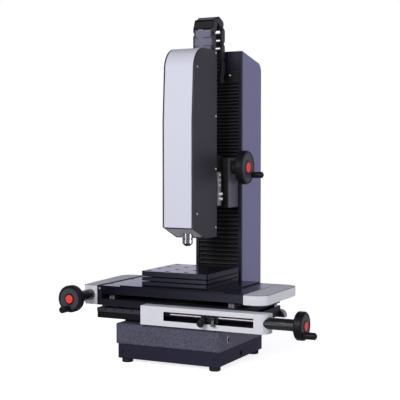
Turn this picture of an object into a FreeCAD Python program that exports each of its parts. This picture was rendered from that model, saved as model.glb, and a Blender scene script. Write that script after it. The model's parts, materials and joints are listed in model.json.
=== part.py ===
# Three-dimensional surface profiler: a granite base with a two-axis stage, a fine sample stage,
# and a measuring head that a carriage lifts along a rear column.
# Millimetres. Origin: floor level under the middle of the base. +X right, +Y back, +Z up.
import FreeCAD, Part
import math
import os

Vector = FreeCAD.Vector
X = Vector(1, 0, 0)
Y = Vector(0, 1, 0)
Z = Vector(0, 0, 1)

os.makedirs("parts", exist_ok=True)

# Fits
running_fit = 0.05
slide_gap = 0.3
cover_gap = 1.0

# Base
foot_diameter = 27.0
foot_height = 11.0
foot_inset = 17.0
plinth_width = 268.0
plinth_depth = 261.0
plinth_height = 36.0
plinth_wall = 2.0
port_diameter = 12.0
granite_overhang = 4.0
granite_thickness = 49.0
granite_chamfer = 2.5
insert_diameter = 19.0
insert_length = 22.0
insert_thread_radius = 5.1
insert_inset = 54.0
pedestal_width = 128.0
pedestal_depth = 158.0
pedestal_wall = 6.0
rear_foot_spacing = 88.0
pedestal_opening = 70.0

# Fixed bed and front cover
bed_left_margin = 13.5
bed_right_margin = 1.5
bed_rear_margin = 10.0
bed_foot_end_margin = 70.0
bed_foot_side_margin = 15.0
bed_foot_height = 6.0
bed_height = 25.3
bed_strip_height = 9.8
bed_strip_depth = 2.0
bed_screw_pitch = 25.0
bed_screw_margin = 24.5
bed_screw_drop = 3.2
bed_screw_radius = 1.6
x_rail_width = 16.0
x_rail_spacing = 170.0
x_gap = 6.0
cover_left = -62.0
cover_right = 262.0
cover_depth = 31.0
cover_height = 45.5
cover_drop = 2.0
cover_wall = 2.5
cover_end_radius = 20.0
slot_left_gap = 9.0
slot_right_gap = 4.5
slot_height = 21.0
slot_rise = 13.0
rear_cover_depth = 18.0
rear_cover_right = 201.0
rear_cover_left_margin = 40.0
rear_cover_drop = 12.0
rear_cover_height = 18.5
rear_cover_end_radius = 15.0
rear_cover_wall = 2.0

# Cross slide and table
slide_thickness = 15.0
y_gap = 12.7
y_rail_width = 14.0
y_rail_height = 9.0
y_rail_end_margin = 29.0
y_rail_inset = 3.0
rail_stop_width = 15.0
rail_stop_height = 11.0
flange_gap = 1.0
y_car_width = 26.0
y_car_length = 40.0
table_width = 377.0
table_depth = 220.0
table_thickness = 20.5
adapter_side_margin = 49.5
adapter_front_margin = 2.0
adapter_thickness = 3.0
left_cap_front_width = 38.0
left_cap_rear_width = 54.0
left_cap_height = 47.5
left_cap_radius = 9.0
left_cap_rear_radius = 32.0
right_cap_width = 54.0
right_cap_height = 23.5
right_cap_radius = 30.0
x_travel = 90.0
y_travel_front = 55.0
y_travel_back = 45.0

# Fine stage
fine_width = 180.0
fine_offset_y = 0.0
fine_base_height = 10.5
fine_middle_height = 9.0
fine_top_height = 12.5
fine_gap = 2.0
fine_corner = 4.0
fine_rail_width = 14.0
fine_rail_spacing = 120.0
fine_travel = 12.5
hole_edge_margin = 15.0
hole_count = 4
hole_radius = 3.3
counterbore_radius = 5.5
counterbore_depth = 4.0

# Drives
drive_tube_diameter = 27.0
drive_tube_bore = 21.0
drive_shaft_diameter = 10.0
wheel_diameter = 64.5
wheel_width = 20.0
wheel_cap_diameter = 20.0
z_wheel_diameter = 86.0
z_wheel_width = 20.0
z_wheel_cap_diameter = 27.0
wheel_edge_radius = 3.0
wheel_recess = 3.0
handle_diameter = 16.0
handle_length = 27.0
handle_pin_diameter = 6.0
handle_pin_head = 2.0
x_wheel_face = 347.0
x_shaft_length = 40.0
y_wheel_face = -211.0
y_shaft_seat = 20.0
scale_rod_diameter = 3.0
scale_rod_inset = 6.0
scale_rod_drop = 6.0
lead_screw_diameter = 8.0

# Column
column_width = 130.0
column_front = 155.0
column_depth = 131.6
column_top = 768.0
column_slope = 20.0
column_corner = 26.0
column_wall = 7.0
column_cover_wall = 1.5
column_flange_width = 8.6
column_flange_depth = 8.0
column_web_front = 194.0
column_web = 12.0
column_base_height = 12.0
top_plate_height = 47.0
end_plate_height = 32.0
end_plate_thickness = 8.0
z_rail_width = 15.0
z_rail_height = 12.0
z_rail_spacing = 74.0
rack_width = 14.0
bellows_front = 158.0
bellows_depth = 14.0
bellows_sheet = 1.2
upper_pleats = 22
lower_pleats = 22

# Carriage
block_width = 114.0
block_front = 99.6
block_rear = 153.0
block_bottom = 368.6
block_top = 494.0
block_chamfer = 4.0
neck_width = 96.0
neck_rear = 176.0
car_width = 34.0
car_length = 40.0
z_travel_up = 80.0
z_travel_down = 45.0
z_wheel_face = 97.0
z_wheel_height = 470.0
gear_module = 1.5
gear_width = 12.0
gear_backlash = 0.7
gear_flank = 20.0
gear_root = 1.25
pinion_teeth = 18
idler_teeth = 26
idler_drop = 8.0
idler_axle_diameter = 8.0
idler_axle_seat = 14.0
shaft_end_seat = 12.0

# Measuring head
head_width = 82.0
head_front = -75.7
head_rear = 58.5
head_panel_bottom = 326.6
head_bottom = 297.3
head_top = 760.0
head_straight_top = 585.0
head_lean_top = 712.0
head_lean = 7.5
head_chamfer_depth = 70.7
head_crown_depth = 51.0
head_crown_shoulder = (14.0, 18.0)
side_plate = 4.0
panel_thickness = 2.5
spine_thickness = 10.0
optical_axis_y = -23.0
objective_diameter = 26.0
objective_tip_diameter = 12.0
objective_tip_z = 279.0
objective_tip_height = 6.0
objective_barrel = 36.0
objective_neck_diameter = 20.0
objective_neck_length = 14.0
optics_tube_diameter = 40.0
optics_tube_length = 225.0
optics_holder_width = 30.0
optics_holder_height = 40.0
optics_holder_rise = 95.0
camera_size = 44.0
camera_height = 60.0
bridge_width = 76.0
bridge_bottom = 372.0
bridge_top = 500.0
strip_thickness = 6.0
strip_depth = 16.0
strip_height = 84.0
strip_bottom = 375.0

# Energy chain
chain_width = 55.6
link_pitch = 20.1
link_height = 19.0
link_plate = 2.6
link_bar = 2.6
chain_front_y = 72.5
chain_fixed_z = 694.0
chain_fixed_links = 6
chain_moving_links = 8
arch_links = 4

# Slide clamp and quick release
clamp_x = 117.0
clamp_width = 44.0
clamp_depth = 20.0
clamp_spacing = 24.0
clamp_boss_diameter = 12.0
clamp_boss_length = 11.5
clamp_knob_diameter = 17.0
clamp_knob_length = 16.0
clamp_knob_tilt = 20.0
clamp_shaft_diameter = 6.0
clamp_shaft_length = 12.0
lever_pin_diameter = 5.0
lever_collar_wall = 2.0
lever_width = 7.0
lever_length = 13.0
lever_thickness = 3.0

# Levels from the floor up
plinth_bottom = foot_height
plinth_top = plinth_bottom + plinth_height
granite_top = plinth_top + granite_thickness
bed_bottom = granite_top + bed_foot_height
bed_top = bed_bottom + bed_height
slide_bottom = bed_top + x_gap
slide_top = slide_bottom + slide_thickness
table_bottom = slide_top + y_gap
table_top = table_bottom + table_thickness
adapter_top = table_top + adapter_thickness
fine_base_top = adapter_top + fine_base_height
fine_middle_bottom = fine_base_top + fine_gap
fine_middle_top = fine_middle_bottom + fine_middle_height
fine_top_bottom = fine_middle_top + fine_gap
sample_plane = fine_top_bottom + fine_top_height

# Faces shared by neighbouring pieces
plinth_rear = plinth_depth / 2
granite_width = plinth_width + 2 * granite_overhang
granite_depth = plinth_depth + 2 * granite_overhang
bed_left = -table_width / 2 - bed_left_margin
bed_right = table_width / 2 + bed_right_margin
bed_x = (bed_left, bed_right)
bed_depth = table_depth + bed_rear_margin
bed_front = -bed_depth / 2
strip_front = bed_front - bed_strip_depth
cover_front = strip_front - cover_depth
cover_bottom = bed_bottom - cover_drop
cover_top = cover_bottom + cover_height
slot_bottom = cover_bottom + slot_rise
slot_top = slot_bottom + slot_height
cover_middle_y = strip_front - cover_depth / 2
knob_x = clamp_x - clamp_spacing / 2
lever_x = clamp_x + clamp_spacing / 2
lever_collar_diameter = lever_pin_diameter + 2 * lever_collar_wall
slot_left = knob_x - clamp_boss_diameter / 2 - x_travel - slot_left_gap
slot_right = lever_x + lever_collar_diameter / 2 + x_travel + slot_right_gap
x_drive_z = (cover_bottom + cover_top) / 2 + 1.5
table_front = bed_front
table_rear = table_front + table_depth
table_centre_y = (table_front + table_rear) / 2
y_rail_spacing = table_width - 2 * y_rail_end_margin
left_cap_bottom = table_top - left_cap_height
left_cap_front = strip_front
y_drive_x = bed_left - left_cap_front_width / 2
y_drive_z = left_cap_bottom + left_cap_height / 2
column_rear = column_front + column_depth
column_bottom = granite_top + column_base_height
end_plate_top = column_top - top_plate_height
end_plate_bottom = end_plate_top - end_plate_height
bellows_width = column_width - 2 * column_flange_width - 2 * slide_gap
block_middle_y = (block_front + block_rear) / 2
gear_pitch = math.pi * gear_module
z_pinion_radius = gear_module * pinion_teeth / 2
z_idler_radius = gear_module * idler_teeth / 2
idler_reach = math.sqrt((z_pinion_radius + z_idler_radius) ** 2 - idler_drop ** 2)
z_idler_y = block_middle_y + idler_reach
z_idler_z = z_wheel_height - idler_drop
rack_pitch_y = z_idler_y + z_idler_radius
arch_turn = 180.0 / arch_links
arch_radius = link_pitch / (2 * math.sin(math.radians(arch_turn / 2)))
arch_z = chain_fixed_z + chain_fixed_links * link_pitch
chain_rear_y = chain_front_y + 2 * arch_radius
panel_edge = head_width / 2 - side_plate


def save(node, *solids):
    shape = solids[0] if len(solids) == 1 else Part.makeCompound(list(solids))
    shape.exportStep("parts/" + node + ".step")


def block(x, y, z):
    size = (x[1] - x[0], y[1] - y[0], z[1] - z[0])
    return Part.makeBox(*size, Vector(x[0], y[0], z[0]))


def wide(width, y, z, centre=0.0):
    return block((centre - width / 2, centre + width / 2), y, z)


def rod(diameter, start, direction, length):
    return Part.makeCylinder(diameter / 2, length, start, direction)


def tube(outer, bore, start, direction, length):
    return rod(outer, start, direction, length).cut(rod(bore, start, direction, length))


def side_prism(points, x):
    """A prism along X from a closed outline of (y, z) corners."""
    corners = [Vector(x[0], y, z) for y, z in points]
    outline = Part.makePolygon(corners + corners[:1])
    return Part.Face(outline).extrude(Vector(x[1] - x[0], 0, 0))


def edges_along(shape, direction, test=None):
    chosen = []
    for edge in shape.Edges:
        if len(edge.Vertexes) != 2 or not isinstance(edge.Curve, Part.Line):
            continue
        if abs(edge.tangentAt(edge.FirstParameter).dot(direction)) < 0.999:
            continue
        if test is None or test(edge.CenterOfMass):
            chosen.append(edge)
    return chosen


def hollow(shape, wall, open_test):
    faces = [face for face in shape.Faces if open_test(face)]
    return shape.makeThickness(faces, -wall, 1e-3)


# Base: feet, sheet-metal plinth, granite slab and the pedestal under the column


def foot(x, y):
    pad = rod(foot_diameter, Vector(x, y, 0), Z, foot_height)
    rim = [edge for edge in pad.Edges if abs(edge.CenterOfMass.z) < 0.01 and edge.Closed]
    return pad.makeChamfer(1.5, rim)


foot_x = plinth_width / 2 - foot_inset
foot_y = plinth_depth / 2 - foot_inset
pedestal_rear = plinth_rear + pedestal_depth
feet = [foot(sx * foot_x, sy * foot_y) for sx in (-1, 1) for sy in (-1, 1)]
feet += [foot(sx * rear_foot_spacing / 2, pedestal_rear - foot_inset) for sx in (-1, 1)]
save("rubber_feet", *feet)

plinth = wide(plinth_width, (-plinth_rear, plinth_rear), (plinth_bottom, plinth_top))
plinth = plinth.makeFillet(2.0, edges_along(plinth, Z))
plinth_hollow = wide(plinth_width - 2 * plinth_wall,
                     (-plinth_rear + plinth_wall, plinth_rear - plinth_wall),
                     (plinth_bottom + plinth_wall, plinth_top - plinth_wall))
port_z = plinth_bottom + plinth_height / 3
port = rod(port_diameter, Vector(plinth_width / 2 - plinth_wall - 1, 0, port_z), X, plinth_wall + 2)
save("plinth", plinth.cut(plinth_hollow).cut(port))

granite = wide(granite_width, (-granite_depth / 2, granite_depth / 2), (plinth_top, granite_top))
granite = granite.makeChamfer(granite_chamfer, [
    edge for edge in granite.Edges
    if edge.CenterOfMass.z > plinth_top + 1])
insert_y = -granite_depth / 2 + insert_inset
insert_z = plinth_top + granite_thickness * 0.46
inserts = []
for side in (-1, 1):
    for y in (-insert_y, insert_y):
        face = Vector(side * granite_width / 2, y, insert_z)
        granite = granite.cut(rod(insert_diameter, face, X * -side, insert_length))
        sleeve = tube(insert_diameter, 2 * insert_thread_radius, face, X * -side, insert_length)
        inserts.append(sleeve)
save("granite_slab", granite)
save("granite_inserts", *inserts)

pedestal_y = (plinth_rear, pedestal_rear)
pedestal = wide(pedestal_width, pedestal_y, (plinth_bottom, granite_top))
pedestal_room = wide(pedestal_width - 2 * pedestal_wall,
                     (plinth_rear + pedestal_wall, pedestal_rear - pedestal_wall),
                     (plinth_bottom + pedestal_wall, granite_top - 2 * pedestal_wall))
granite_notch = wide(pedestal_width + 2, (plinth_rear - 1, granite_depth / 2), (plinth_top, granite_top + 1))
cable_room = rod(pedestal_opening, Vector(0, (plinth_rear + pedestal_rear) / 2, plinth_bottom - 1), Z,
                 pedestal_wall + 2)
save("rear_pedestal", pedestal.cut([pedestal_room, granite_notch, cable_room]))

# Fixed bed of the stage, its rails and its covers

bed = block(bed_x, (bed_front, -bed_front), (bed_bottom, bed_top))
bed_foot_y = (bed_front + bed_foot_side_margin, -bed_front - bed_foot_side_margin)
bed_foot_x = bed_left + bed_foot_end_margin
bed = bed.fuse(block((bed_foot_x, -bed_foot_x), bed_foot_y, (granite_top, bed_bottom)))
bed = bed.fuse(block(bed_x, (strip_front, bed_front), (bed_top - bed_strip_height, bed_top)))
screw_x = bed_left + bed_screw_margin
while screw_x < bed_right - bed_screw_pitch / 2:
    start = Vector(screw_x, strip_front - 1, bed_top - bed_screw_drop)
    bed = bed.cut(rod(2 * bed_screw_radius, start, Y, 5.0))
    screw_x += bed_screw_pitch
save("stage_bed", bed.removeSplitter())

rail_top = slide_bottom - slide_gap
x_rails = []
for side in (-1, 1):
    middle = side * x_rail_spacing / 2
    rail = block(bed_x, (middle - x_rail_width / 2, middle + x_rail_width / 2), (bed_top, rail_top))
    x_rails.append(rail.makeChamfer(1.2, edges_along(rail, X, lambda c: c.z > rail_top - 0.1)))
save("x_rails", *x_rails)


def front_cover_shell():
    body = block((cover_left, cover_right), (cover_front, strip_front), (cover_bottom, cover_top))
    front_right = edges_along(body, Z, lambda c: c.x > 0 and c.y < cover_front + 1)
    body = body.makeFillet(cover_end_radius, front_right)
    shell = hollow(body, cover_wall, lambda face: face.CenterOfMass.y > strip_front - 0.01)
    slot = block((slot_left, slot_right), (cover_front - 1, cover_front + cover_wall + 1),
                 (slot_bottom, slot_top))
    slot = slot.makeFillet(1.5, edges_along(slot, Y))
    return shell.cut(slot)


drive_start = Vector(cover_right - cover_end_radius, cover_middle_y, x_drive_z)
x_tube_length = x_wheel_face - wheel_width - slide_gap - drive_start.x
front_cover = front_cover_shell().cut(rod(drive_tube_diameter, drive_start, X, x_tube_length))
save("front_cover", front_cover)

x_tube = tube(drive_tube_diameter, drive_tube_bore, drive_start, X, x_tube_length)
bush_length = 12.0
bush_start = drive_start + X * (x_tube_length - bush_length)
bush = tube(drive_tube_bore, drive_shaft_diameter + 2 * running_fit, bush_start, X, bush_length)
save("x_drive_tube", x_tube.fuse(bush).removeSplitter())

scale_rod_z = slot_top - scale_rod_drop
scale_rod_y = cover_front + cover_wall + scale_rod_inset
scale_rod_start = Vector(cover_left + cover_wall, scale_rod_y, scale_rod_z)
scale_rod = rod(scale_rod_diameter, scale_rod_start, X, drive_start.x - scale_rod_start.x)
save("scale_rod", scale_rod)

rear_cover_y = (-bed_front, -bed_front + rear_cover_depth)
rear_cover_top = bed_top - rear_cover_drop
rear_cover = block((bed_left + rear_cover_left_margin, rear_cover_right), rear_cover_y,
                   (rear_cover_top - rear_cover_height, rear_cover_top))
rear_cover = rear_cover.makeFillet(rear_cover_end_radius, edges_along(
    rear_cover, Y, lambda c: c.x > 0 and c.z > rear_cover_top - 1))
rear_cover = hollow(rear_cover, rear_cover_wall, lambda face: face.CenterOfMass.y < -bed_front + 0.01)
save("bed_rear_cover", rear_cover)

# Cross slide, which runs left and right on the bed

slide_y = (bed_front, -bed_front)
slide_plate = block((bed_left, table_width / 2), slide_y, (slide_bottom, slide_top))
slide_flange = block((bed_left, -table_width / 2 - flange_gap), slide_y, (slide_top, table_top))
save("cross_slide_plate", slide_plate.fuse(slide_flange).removeSplitter())

y_rails = []
for side in (-1, 1):
    rail = wide(y_rail_width, (bed_front + y_rail_inset, -bed_front - y_rail_inset),
                (slide_top, slide_top + y_rail_height), side * y_rail_spacing / 2)
    y_rails.append(rail.makeChamfer(1.0, edges_along(rail, Y, lambda c: c.z > slide_top + 1)))
    for face, inwards in ((bed_front, 1), (-bed_front, -1)):
        stop_end = face + inwards * (y_rail_inset - slide_gap)
        y_rails.append(wide(rail_stop_width, (min(face, stop_end), max(face, stop_end)),
                            (slide_top, slide_top + rail_stop_height), side * y_rail_spacing / 2))
save("y_rails", *y_rails)

cap_corners = [(bed_left, left_cap_front), (bed_left, -bed_front), (bed_left - left_cap_rear_width, -bed_front),
               (bed_left - left_cap_rear_width, -bed_front - left_cap_rear_radius),
               (bed_left - left_cap_front_width, left_cap_front)]
cap_points = [Vector(x, y, left_cap_bottom) for x, y in cap_corners]
left_cap = Part.Face(Part.makePolygon(cap_points + cap_points[:1])).extrude(Z * left_cap_height)
left_cap = left_cap.makeFillet(left_cap_radius, edges_along(
    left_cap, Z, lambda c: c.x < bed_left - 1 and c.y < 0))
left_cap = left_cap.makeFillet(left_cap_rear_radius - 1, edges_along(
    left_cap, Z, lambda c: c.x < bed_left - 1 and c.y > -bed_front - 1))
left_cap = left_cap.makeFillet(1.5, [edge for edge in left_cap.Edges
                                     if edge.CenterOfMass.z > table_top - 0.01
                                     and edge.CenterOfMass.x < bed_left - 0.01])
y_shaft_start = Vector(y_drive_x, left_cap_front, y_drive_z)
y_shaft_room = rod(drive_shaft_diameter + 2 * running_fit, y_shaft_start - Y, Y,
                   y_shaft_seat + cover_gap + 1)
save("left_end_cap", left_cap.cut(y_shaft_room))

y_tube_length = left_cap_front - y_wheel_face - wheel_width - slide_gap
y_tube = tube(drive_tube_diameter, drive_tube_bore, y_shaft_start, -Y, y_tube_length)
y_bush = tube(drive_tube_bore, drive_shaft_diameter + 2 * running_fit,
              y_shaft_start - Y * (y_tube_length - bush_length), -Y, bush_length)
save("y_drive_tube", y_tube.fuse(y_bush).removeSplitter())

# Slide clamp: a nut on the lead screw that also grips the scale rod, with its knob and lever

clamp_x_range = (clamp_x - clamp_width / 2, clamp_x + clamp_width / 2)
clamp_rear = cover_middle_y + clamp_depth / 2 - 1
clamp_front = clamp_rear - clamp_depth
arm_top = cover_top - cover_wall - cover_gap
clamp_block = block(clamp_x_range, (clamp_front, clamp_rear), (slot_bottom + 2, slot_top - 2))
riser = block(clamp_x_range, (cover_middle_y + 6, clamp_rear), (slot_top - 2, arm_top))
arm = block(clamp_x_range, (clamp_rear, bed_front), (slide_bottom + cover_gap, arm_top))
tilt = math.radians(clamp_knob_tilt)
knob_axis = Vector(0, -math.cos(tilt), -math.sin(tilt))
boss_start = Vector(knob_x, clamp_front, slot_bottom + slot_height * 0.55)
clamp_boss = rod(clamp_boss_diameter, boss_start - knob_axis * 3, knob_axis, clamp_boss_length + 3)
lever_pin_start = Vector(lever_x, clamp_front, slot_bottom + slot_height * 0.6)
lever_pin_length = clamp_front - cover_front + cover_gap + lever_thickness + slide_gap + 1.5
lever_pin = rod(lever_pin_diameter, lever_pin_start, -Y, lever_pin_length)
lever_collar = rod(lever_collar_diameter, lever_pin_start, -Y, clamp_front - cover_front + cover_gap)
clamp_body = clamp_block.fuse([riser, arm, clamp_boss, lever_pin, lever_collar])
rod_room = rod(scale_rod_diameter + 2 * running_fit, Vector(clamp_x - clamp_width, scale_rod_y, scale_rod_z),
               X, 2 * clamp_width)
screw_room = rod(lead_screw_diameter + 2 * running_fit,
                 Vector(clamp_x - clamp_width, cover_middle_y, x_drive_z), X, 2 * clamp_width)
knob_seat = boss_start + knob_axis * clamp_boss_length
knob_room = rod(clamp_shaft_diameter + 2 * running_fit, knob_seat + knob_axis, -knob_axis,
                clamp_shaft_length + 2)
clamp_body = clamp_body.cut([rod_room, screw_room, knob_room])
save("slide_clamp", clamp_body.removeSplitter())

knob_start = knob_seat + knob_axis * slide_gap
knob = rod(clamp_knob_diameter, knob_start, knob_axis, clamp_knob_length)
knob = knob.makeChamfer(1.2, [edge for edge in knob.Edges if edge.Closed])
knob_side = knob_axis.cross(X)
flutes = 14
for index in range(flutes):
    angle = 2 * math.pi * index / flutes
    spoke = X * math.cos(angle) + knob_side * math.sin(angle)
    flute_start = knob_start + spoke * (clamp_knob_diameter / 2) + knob_axis * 2.5
    knob = knob.cut(rod(1.6, flute_start, knob_axis, clamp_knob_length - 5))
knob = knob.fuse(rod(clamp_shaft_diameter, knob_start, -knob_axis, clamp_shaft_length))
save("clamp_knob", knob.removeSplitter())

lever_rear = cover_front - cover_gap - slide_gap
lever_y = (lever_rear - lever_thickness, lever_rear)
lever_bottom = lever_pin_start.z - lever_length
lever = wide(lever_width, lever_y, (lever_bottom, lever_pin_start.z), lever_x)
lever = lever.fuse(rod(lever_width, Vector(lever_x, lever_y[0], lever_pin_start.z), Y, lever_thickness))
toe = block((lever_x - lever_width / 2, lever_x + lever_width * 1.1),
            (lever_y[0] - 4, lever_y[1]), (lever_bottom - lever_thickness, lever_bottom))
lever = lever.fuse(toe).cut(rod(lever_pin_diameter + 2 * running_fit,
                                Vector(lever_x, lever_y[0] - 1, lever_pin_start.z), Y, 6))
save("release_lever", lever.removeSplitter())

screw_left = cover_left + cover_wall + slide_gap
screw_right = x_wheel_face - wheel_width - x_shaft_length
save("x_lead_screw", rod(lead_screw_diameter, Vector(screw_left, cover_middle_y, x_drive_z), X,
                         screw_right - screw_left))

# Table, which runs front to back on the cross slide

table_y = (table_front, table_rear)
table = wide(table_width, table_y, (table_bottom, table_top))
save("table_plate", table)

y_cars = []
car_bottom = slide_top + slide_gap
front_car_y = bed_front + y_rail_inset + y_travel_front
rear_car_y = -bed_front - y_rail_inset - y_travel_back - y_car_length
for side in (-1, 1):
    for y in (front_car_y, rear_car_y):
        car = wide(y_car_width, (y, y + y_car_length), (car_bottom, table_bottom), side * y_rail_spacing / 2)
        groove = wide(y_rail_width + 2 * slide_gap, (y - 1, y + y_car_length + 1),
                      (car_bottom - 1, slide_top + y_rail_height + slide_gap), side * y_rail_spacing / 2)
        y_cars.append(car.cut(groove))
save("y_bearing_cars", *y_cars)

right_cap = block((table_width / 2, table_width / 2 + right_cap_width), table_y,
                  (table_top - right_cap_height, table_top))
right_cap = right_cap.makeFillet(right_cap_radius, edges_along(
    right_cap, Z, lambda c: c.x > table_width / 2 + 1))
right_cap = right_cap.makeFillet(1.5, [edge for edge in right_cap.Edges
                                       if edge.CenterOfMass.z > table_top - 0.01
                                       and edge.CenterOfMass.x > table_width / 2 + 0.01])
save("right_end_cap", right_cap)

adapter_y = (table_front + adapter_front_margin, table_rear - adapter_front_margin)
adapter_width = table_width - 2 * adapter_side_margin
save("adapter_plate", wide(adapter_width, adapter_y, (table_top, adapter_top)))

# Fine stage: a base, a middle plate that moves in X and a sample plate that moves in Y

fine_centre_y = table_centre_y + fine_offset_y
hole_pitch = (fine_width - 2 * hole_edge_margin) / (hole_count - 1)
fine_y = (fine_centre_y - fine_width / 2, fine_centre_y + fine_width / 2)


def fine_plate(bottom, top, rails_along=None):
    plate = wide(fine_width, fine_y, (bottom, top))
    plate = plate.makeChamfer(fine_corner, edges_along(plate, Z))
    rail_z = (top, top + fine_gap - slide_gap)
    for side in (-1, 1):
        offset = side * fine_rail_spacing / 2
        near, far = offset - fine_rail_width / 2, offset + fine_rail_width / 2
        if rails_along == "x":
            rail = wide(fine_width - 2 * fine_travel, (fine_centre_y + near, fine_centre_y + far), rail_z)
            plate = plate.fuse(rail)
        if rails_along == "y":
            rail = block((near, far), (fine_y[0] + fine_travel, fine_y[1] - fine_travel), rail_z)
            plate = plate.fuse(rail)
    return plate


save("fine_stage_base", fine_plate(adapter_top, fine_base_top, "x"))
save("fine_stage_middle", fine_plate(fine_middle_bottom, fine_middle_top, "y"))

sample_plate = fine_plate(fine_top_bottom, sample_plane)
first_hole = -hole_pitch * (hole_count - 1) / 2
for column in range(hole_count):
    for row in range(hole_count):
        x = first_hole + column * hole_pitch
        y = fine_centre_y + first_hole + row * hole_pitch
        sample_plate = sample_plate.cut(rod(2 * hole_radius, Vector(x, y, fine_top_bottom - 1), Z,
                                            fine_top_height + 2))
        sample_plate = sample_plate.cut(rod(2 * counterbore_radius,
                                            Vector(x, y, sample_plane - counterbore_depth), Z,
                                            counterbore_depth + 1))
save("sample_plate", sample_plate)

# Handwheels: drum with a dished face, red centre cap, and a handle that spins on its own pin


def turned(profile, origin, direction):
    """A body of revolution from (radius, along) corners about a line through origin."""
    corners = [Vector(radius, 0, along) for radius, along in profile]
    face = Part.Face(Part.makePolygon(corners + corners[:1]))
    solid = face.revolve(Vector(0, 0, 0), Z, 360)
    solid.Placement = FreeCAD.Placement(origin, FreeCAD.Rotation(Z, direction))
    return solid


def tooth_flanks(middle_half):
    """Half widths of a straight-sided tooth at its root and its tip."""
    slope = math.tan(math.radians(gear_flank))
    return middle_half + gear_root * gear_module * slope, middle_half - gear_module * slope


def gear(teeth, y, z, first_tooth):
    """A spur gear about X; its first tooth points at an angle from +Y towards +Z."""
    pitch_radius = gear_module * teeth / 2
    root_half, tip_half = tooth_flanks((gear_pitch - gear_backlash) / 4)
    root = pitch_radius - gear_root * gear_module
    tip = pitch_radius + gear_module
    points = []
    for tooth in range(teeth):
        middle = first_tooth + 2 * math.pi * tooth / teeth
        for radius, half in ((root, -root_half), (tip, -tip_half), (tip, tip_half), (root, root_half)):
            angle = middle + half / radius
            points.append((y + radius * math.cos(angle), z + radius * math.sin(angle)))
    return side_prism(points, (-gear_width / 2, gear_width / 2))


def handwheel(name, face_centre, outward, diameter, width, cap_diameter, shaft_length, handle_angle,
              *on_shaft):
    """Wheel with what its shaft carries, cap and handle. Along runs outwards from the outer face."""
    radius = diameter / 2
    hub = cap_diameter / 2 + 3.5
    rim = radius - 6.5
    edge = wheel_edge_radius
    profile = [(0, -width), (radius - edge, -width), (radius, -width + edge), (radius, -edge),
               (radius - edge, 0), (rim, 0), (rim - 1.5, -wheel_recess), (hub + 1.5, -wheel_recess),
               (hub, 0), (0, 0)]
    wheel = turned(profile, face_centre, outward)
    cap_depth = 2.0
    cap_seat = rod(cap_diameter, face_centre - outward * cap_depth, outward, cap_depth + 1)
    wheel = wheel.cut(cap_seat)
    shaft = rod(drive_shaft_diameter, face_centre - outward * width, -outward, shaft_length)
    side = outward.cross(Z)
    pin_radius = radius - handle_diameter / 2 - 1.5
    spoke = side * math.cos(handle_angle) + Z * math.sin(handle_angle)
    pin_base = face_centre + spoke * pin_radius
    pin_length = handle_length + slide_gap + handle_pin_head
    pin = rod(handle_pin_diameter, pin_base - outward * wheel_recess, outward,
              pin_length + wheel_recess + slide_gap)
    boss = rod(handle_pin_diameter + 6, pin_base - outward * wheel_recess, outward, wheel_recess)
    head = rod(handle_pin_diameter + 3, pin_base + outward * (handle_length + 2 * slide_gap), outward,
               handle_pin_head)
    save(name + "_handwheel", wheel.fuse([shaft, boss, pin, head, *on_shaft]).removeSplitter())
    cap = rod(cap_diameter, face_centre - outward * cap_depth, outward, cap_depth + 1.2)
    cap = cap.makeFillet(1.0, [e for e in cap.Edges
                               if e.Closed and (e.CenterOfMass - face_centre).dot(outward) > 0.5])
    save(name + "_wheel_cap", cap)
    grip = handle_diameter / 2
    grip_profile = [(0, 0), (grip * 0.7, 0), (grip * 0.82, 3), (grip, handle_length * 0.55),
                    (grip, handle_length - 3), (grip - 2, handle_length), (0, handle_length)]
    handle = turned(grip_profile, pin_base + outward * slide_gap, outward)
    bore = rod(handle_pin_diameter + 2 * running_fit, pin_base, outward, handle_length + 2)
    save(name + "_handle", handle.cut(bore))
    return pin_base


x_wheel_centre = Vector(x_wheel_face, cover_middle_y, x_drive_z)
x_pin = handwheel("x", x_wheel_centre, X, wheel_diameter, wheel_width, wheel_cap_diameter,
                  x_shaft_length, math.radians(-53))
y_wheel_centre = Vector(y_drive_x, y_wheel_face, y_drive_z)
y_pin = handwheel("y", y_wheel_centre, -Y, wheel_diameter, wheel_width, wheel_cap_diameter,
                  y_tube_length + slide_gap + y_shaft_seat, math.radians(-82))
z_wheel_centre = Vector(z_wheel_face, block_middle_y, z_wheel_height)
z_hub_start = block_width / 2
z_shaft_end = -gear_width / 2 - cover_gap - shaft_end_seat
z_shaft_length = z_wheel_face - z_wheel_width - z_shaft_end
mesh_angle = math.atan2(-idler_drop, idler_reach)
pinion = gear(pinion_teeth, block_middle_y, z_wheel_height, mesh_angle)
z_pin = handwheel("z", z_wheel_centre, X, z_wheel_diameter, z_wheel_width, z_wheel_cap_diameter,
                  z_shaft_length, math.radians(-145), pinion)

# Column: base flange, walls with a web, bent sheet cover, front frame, rails, rack and bellows

column_y = (column_front, column_rear)
wall_front = column_front + column_flange_depth
inner_edge = column_width / 2 - column_cover_wall
wall_z = (column_bottom, column_top - column_slope - column_corner)
column_parts = []
for side in (-1, 1):
    near = side * (inner_edge - column_wall)
    far = side * inner_edge
    column_parts.append(block((min(near, far), max(near, far)),
                              (wall_front, column_rear - column_cover_wall), wall_z))
web = wide(2 * inner_edge, (column_web_front, column_web_front + column_web), wall_z)
flange = wide(column_width, column_y, (granite_top, column_bottom))
column_body = column_parts[0].fuse([column_parts[1], web, flange])
save("column_body", column_body.removeSplitter())

slope_rear_y = column_rear - column_corner
slope_z = column_top - column_slope


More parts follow.
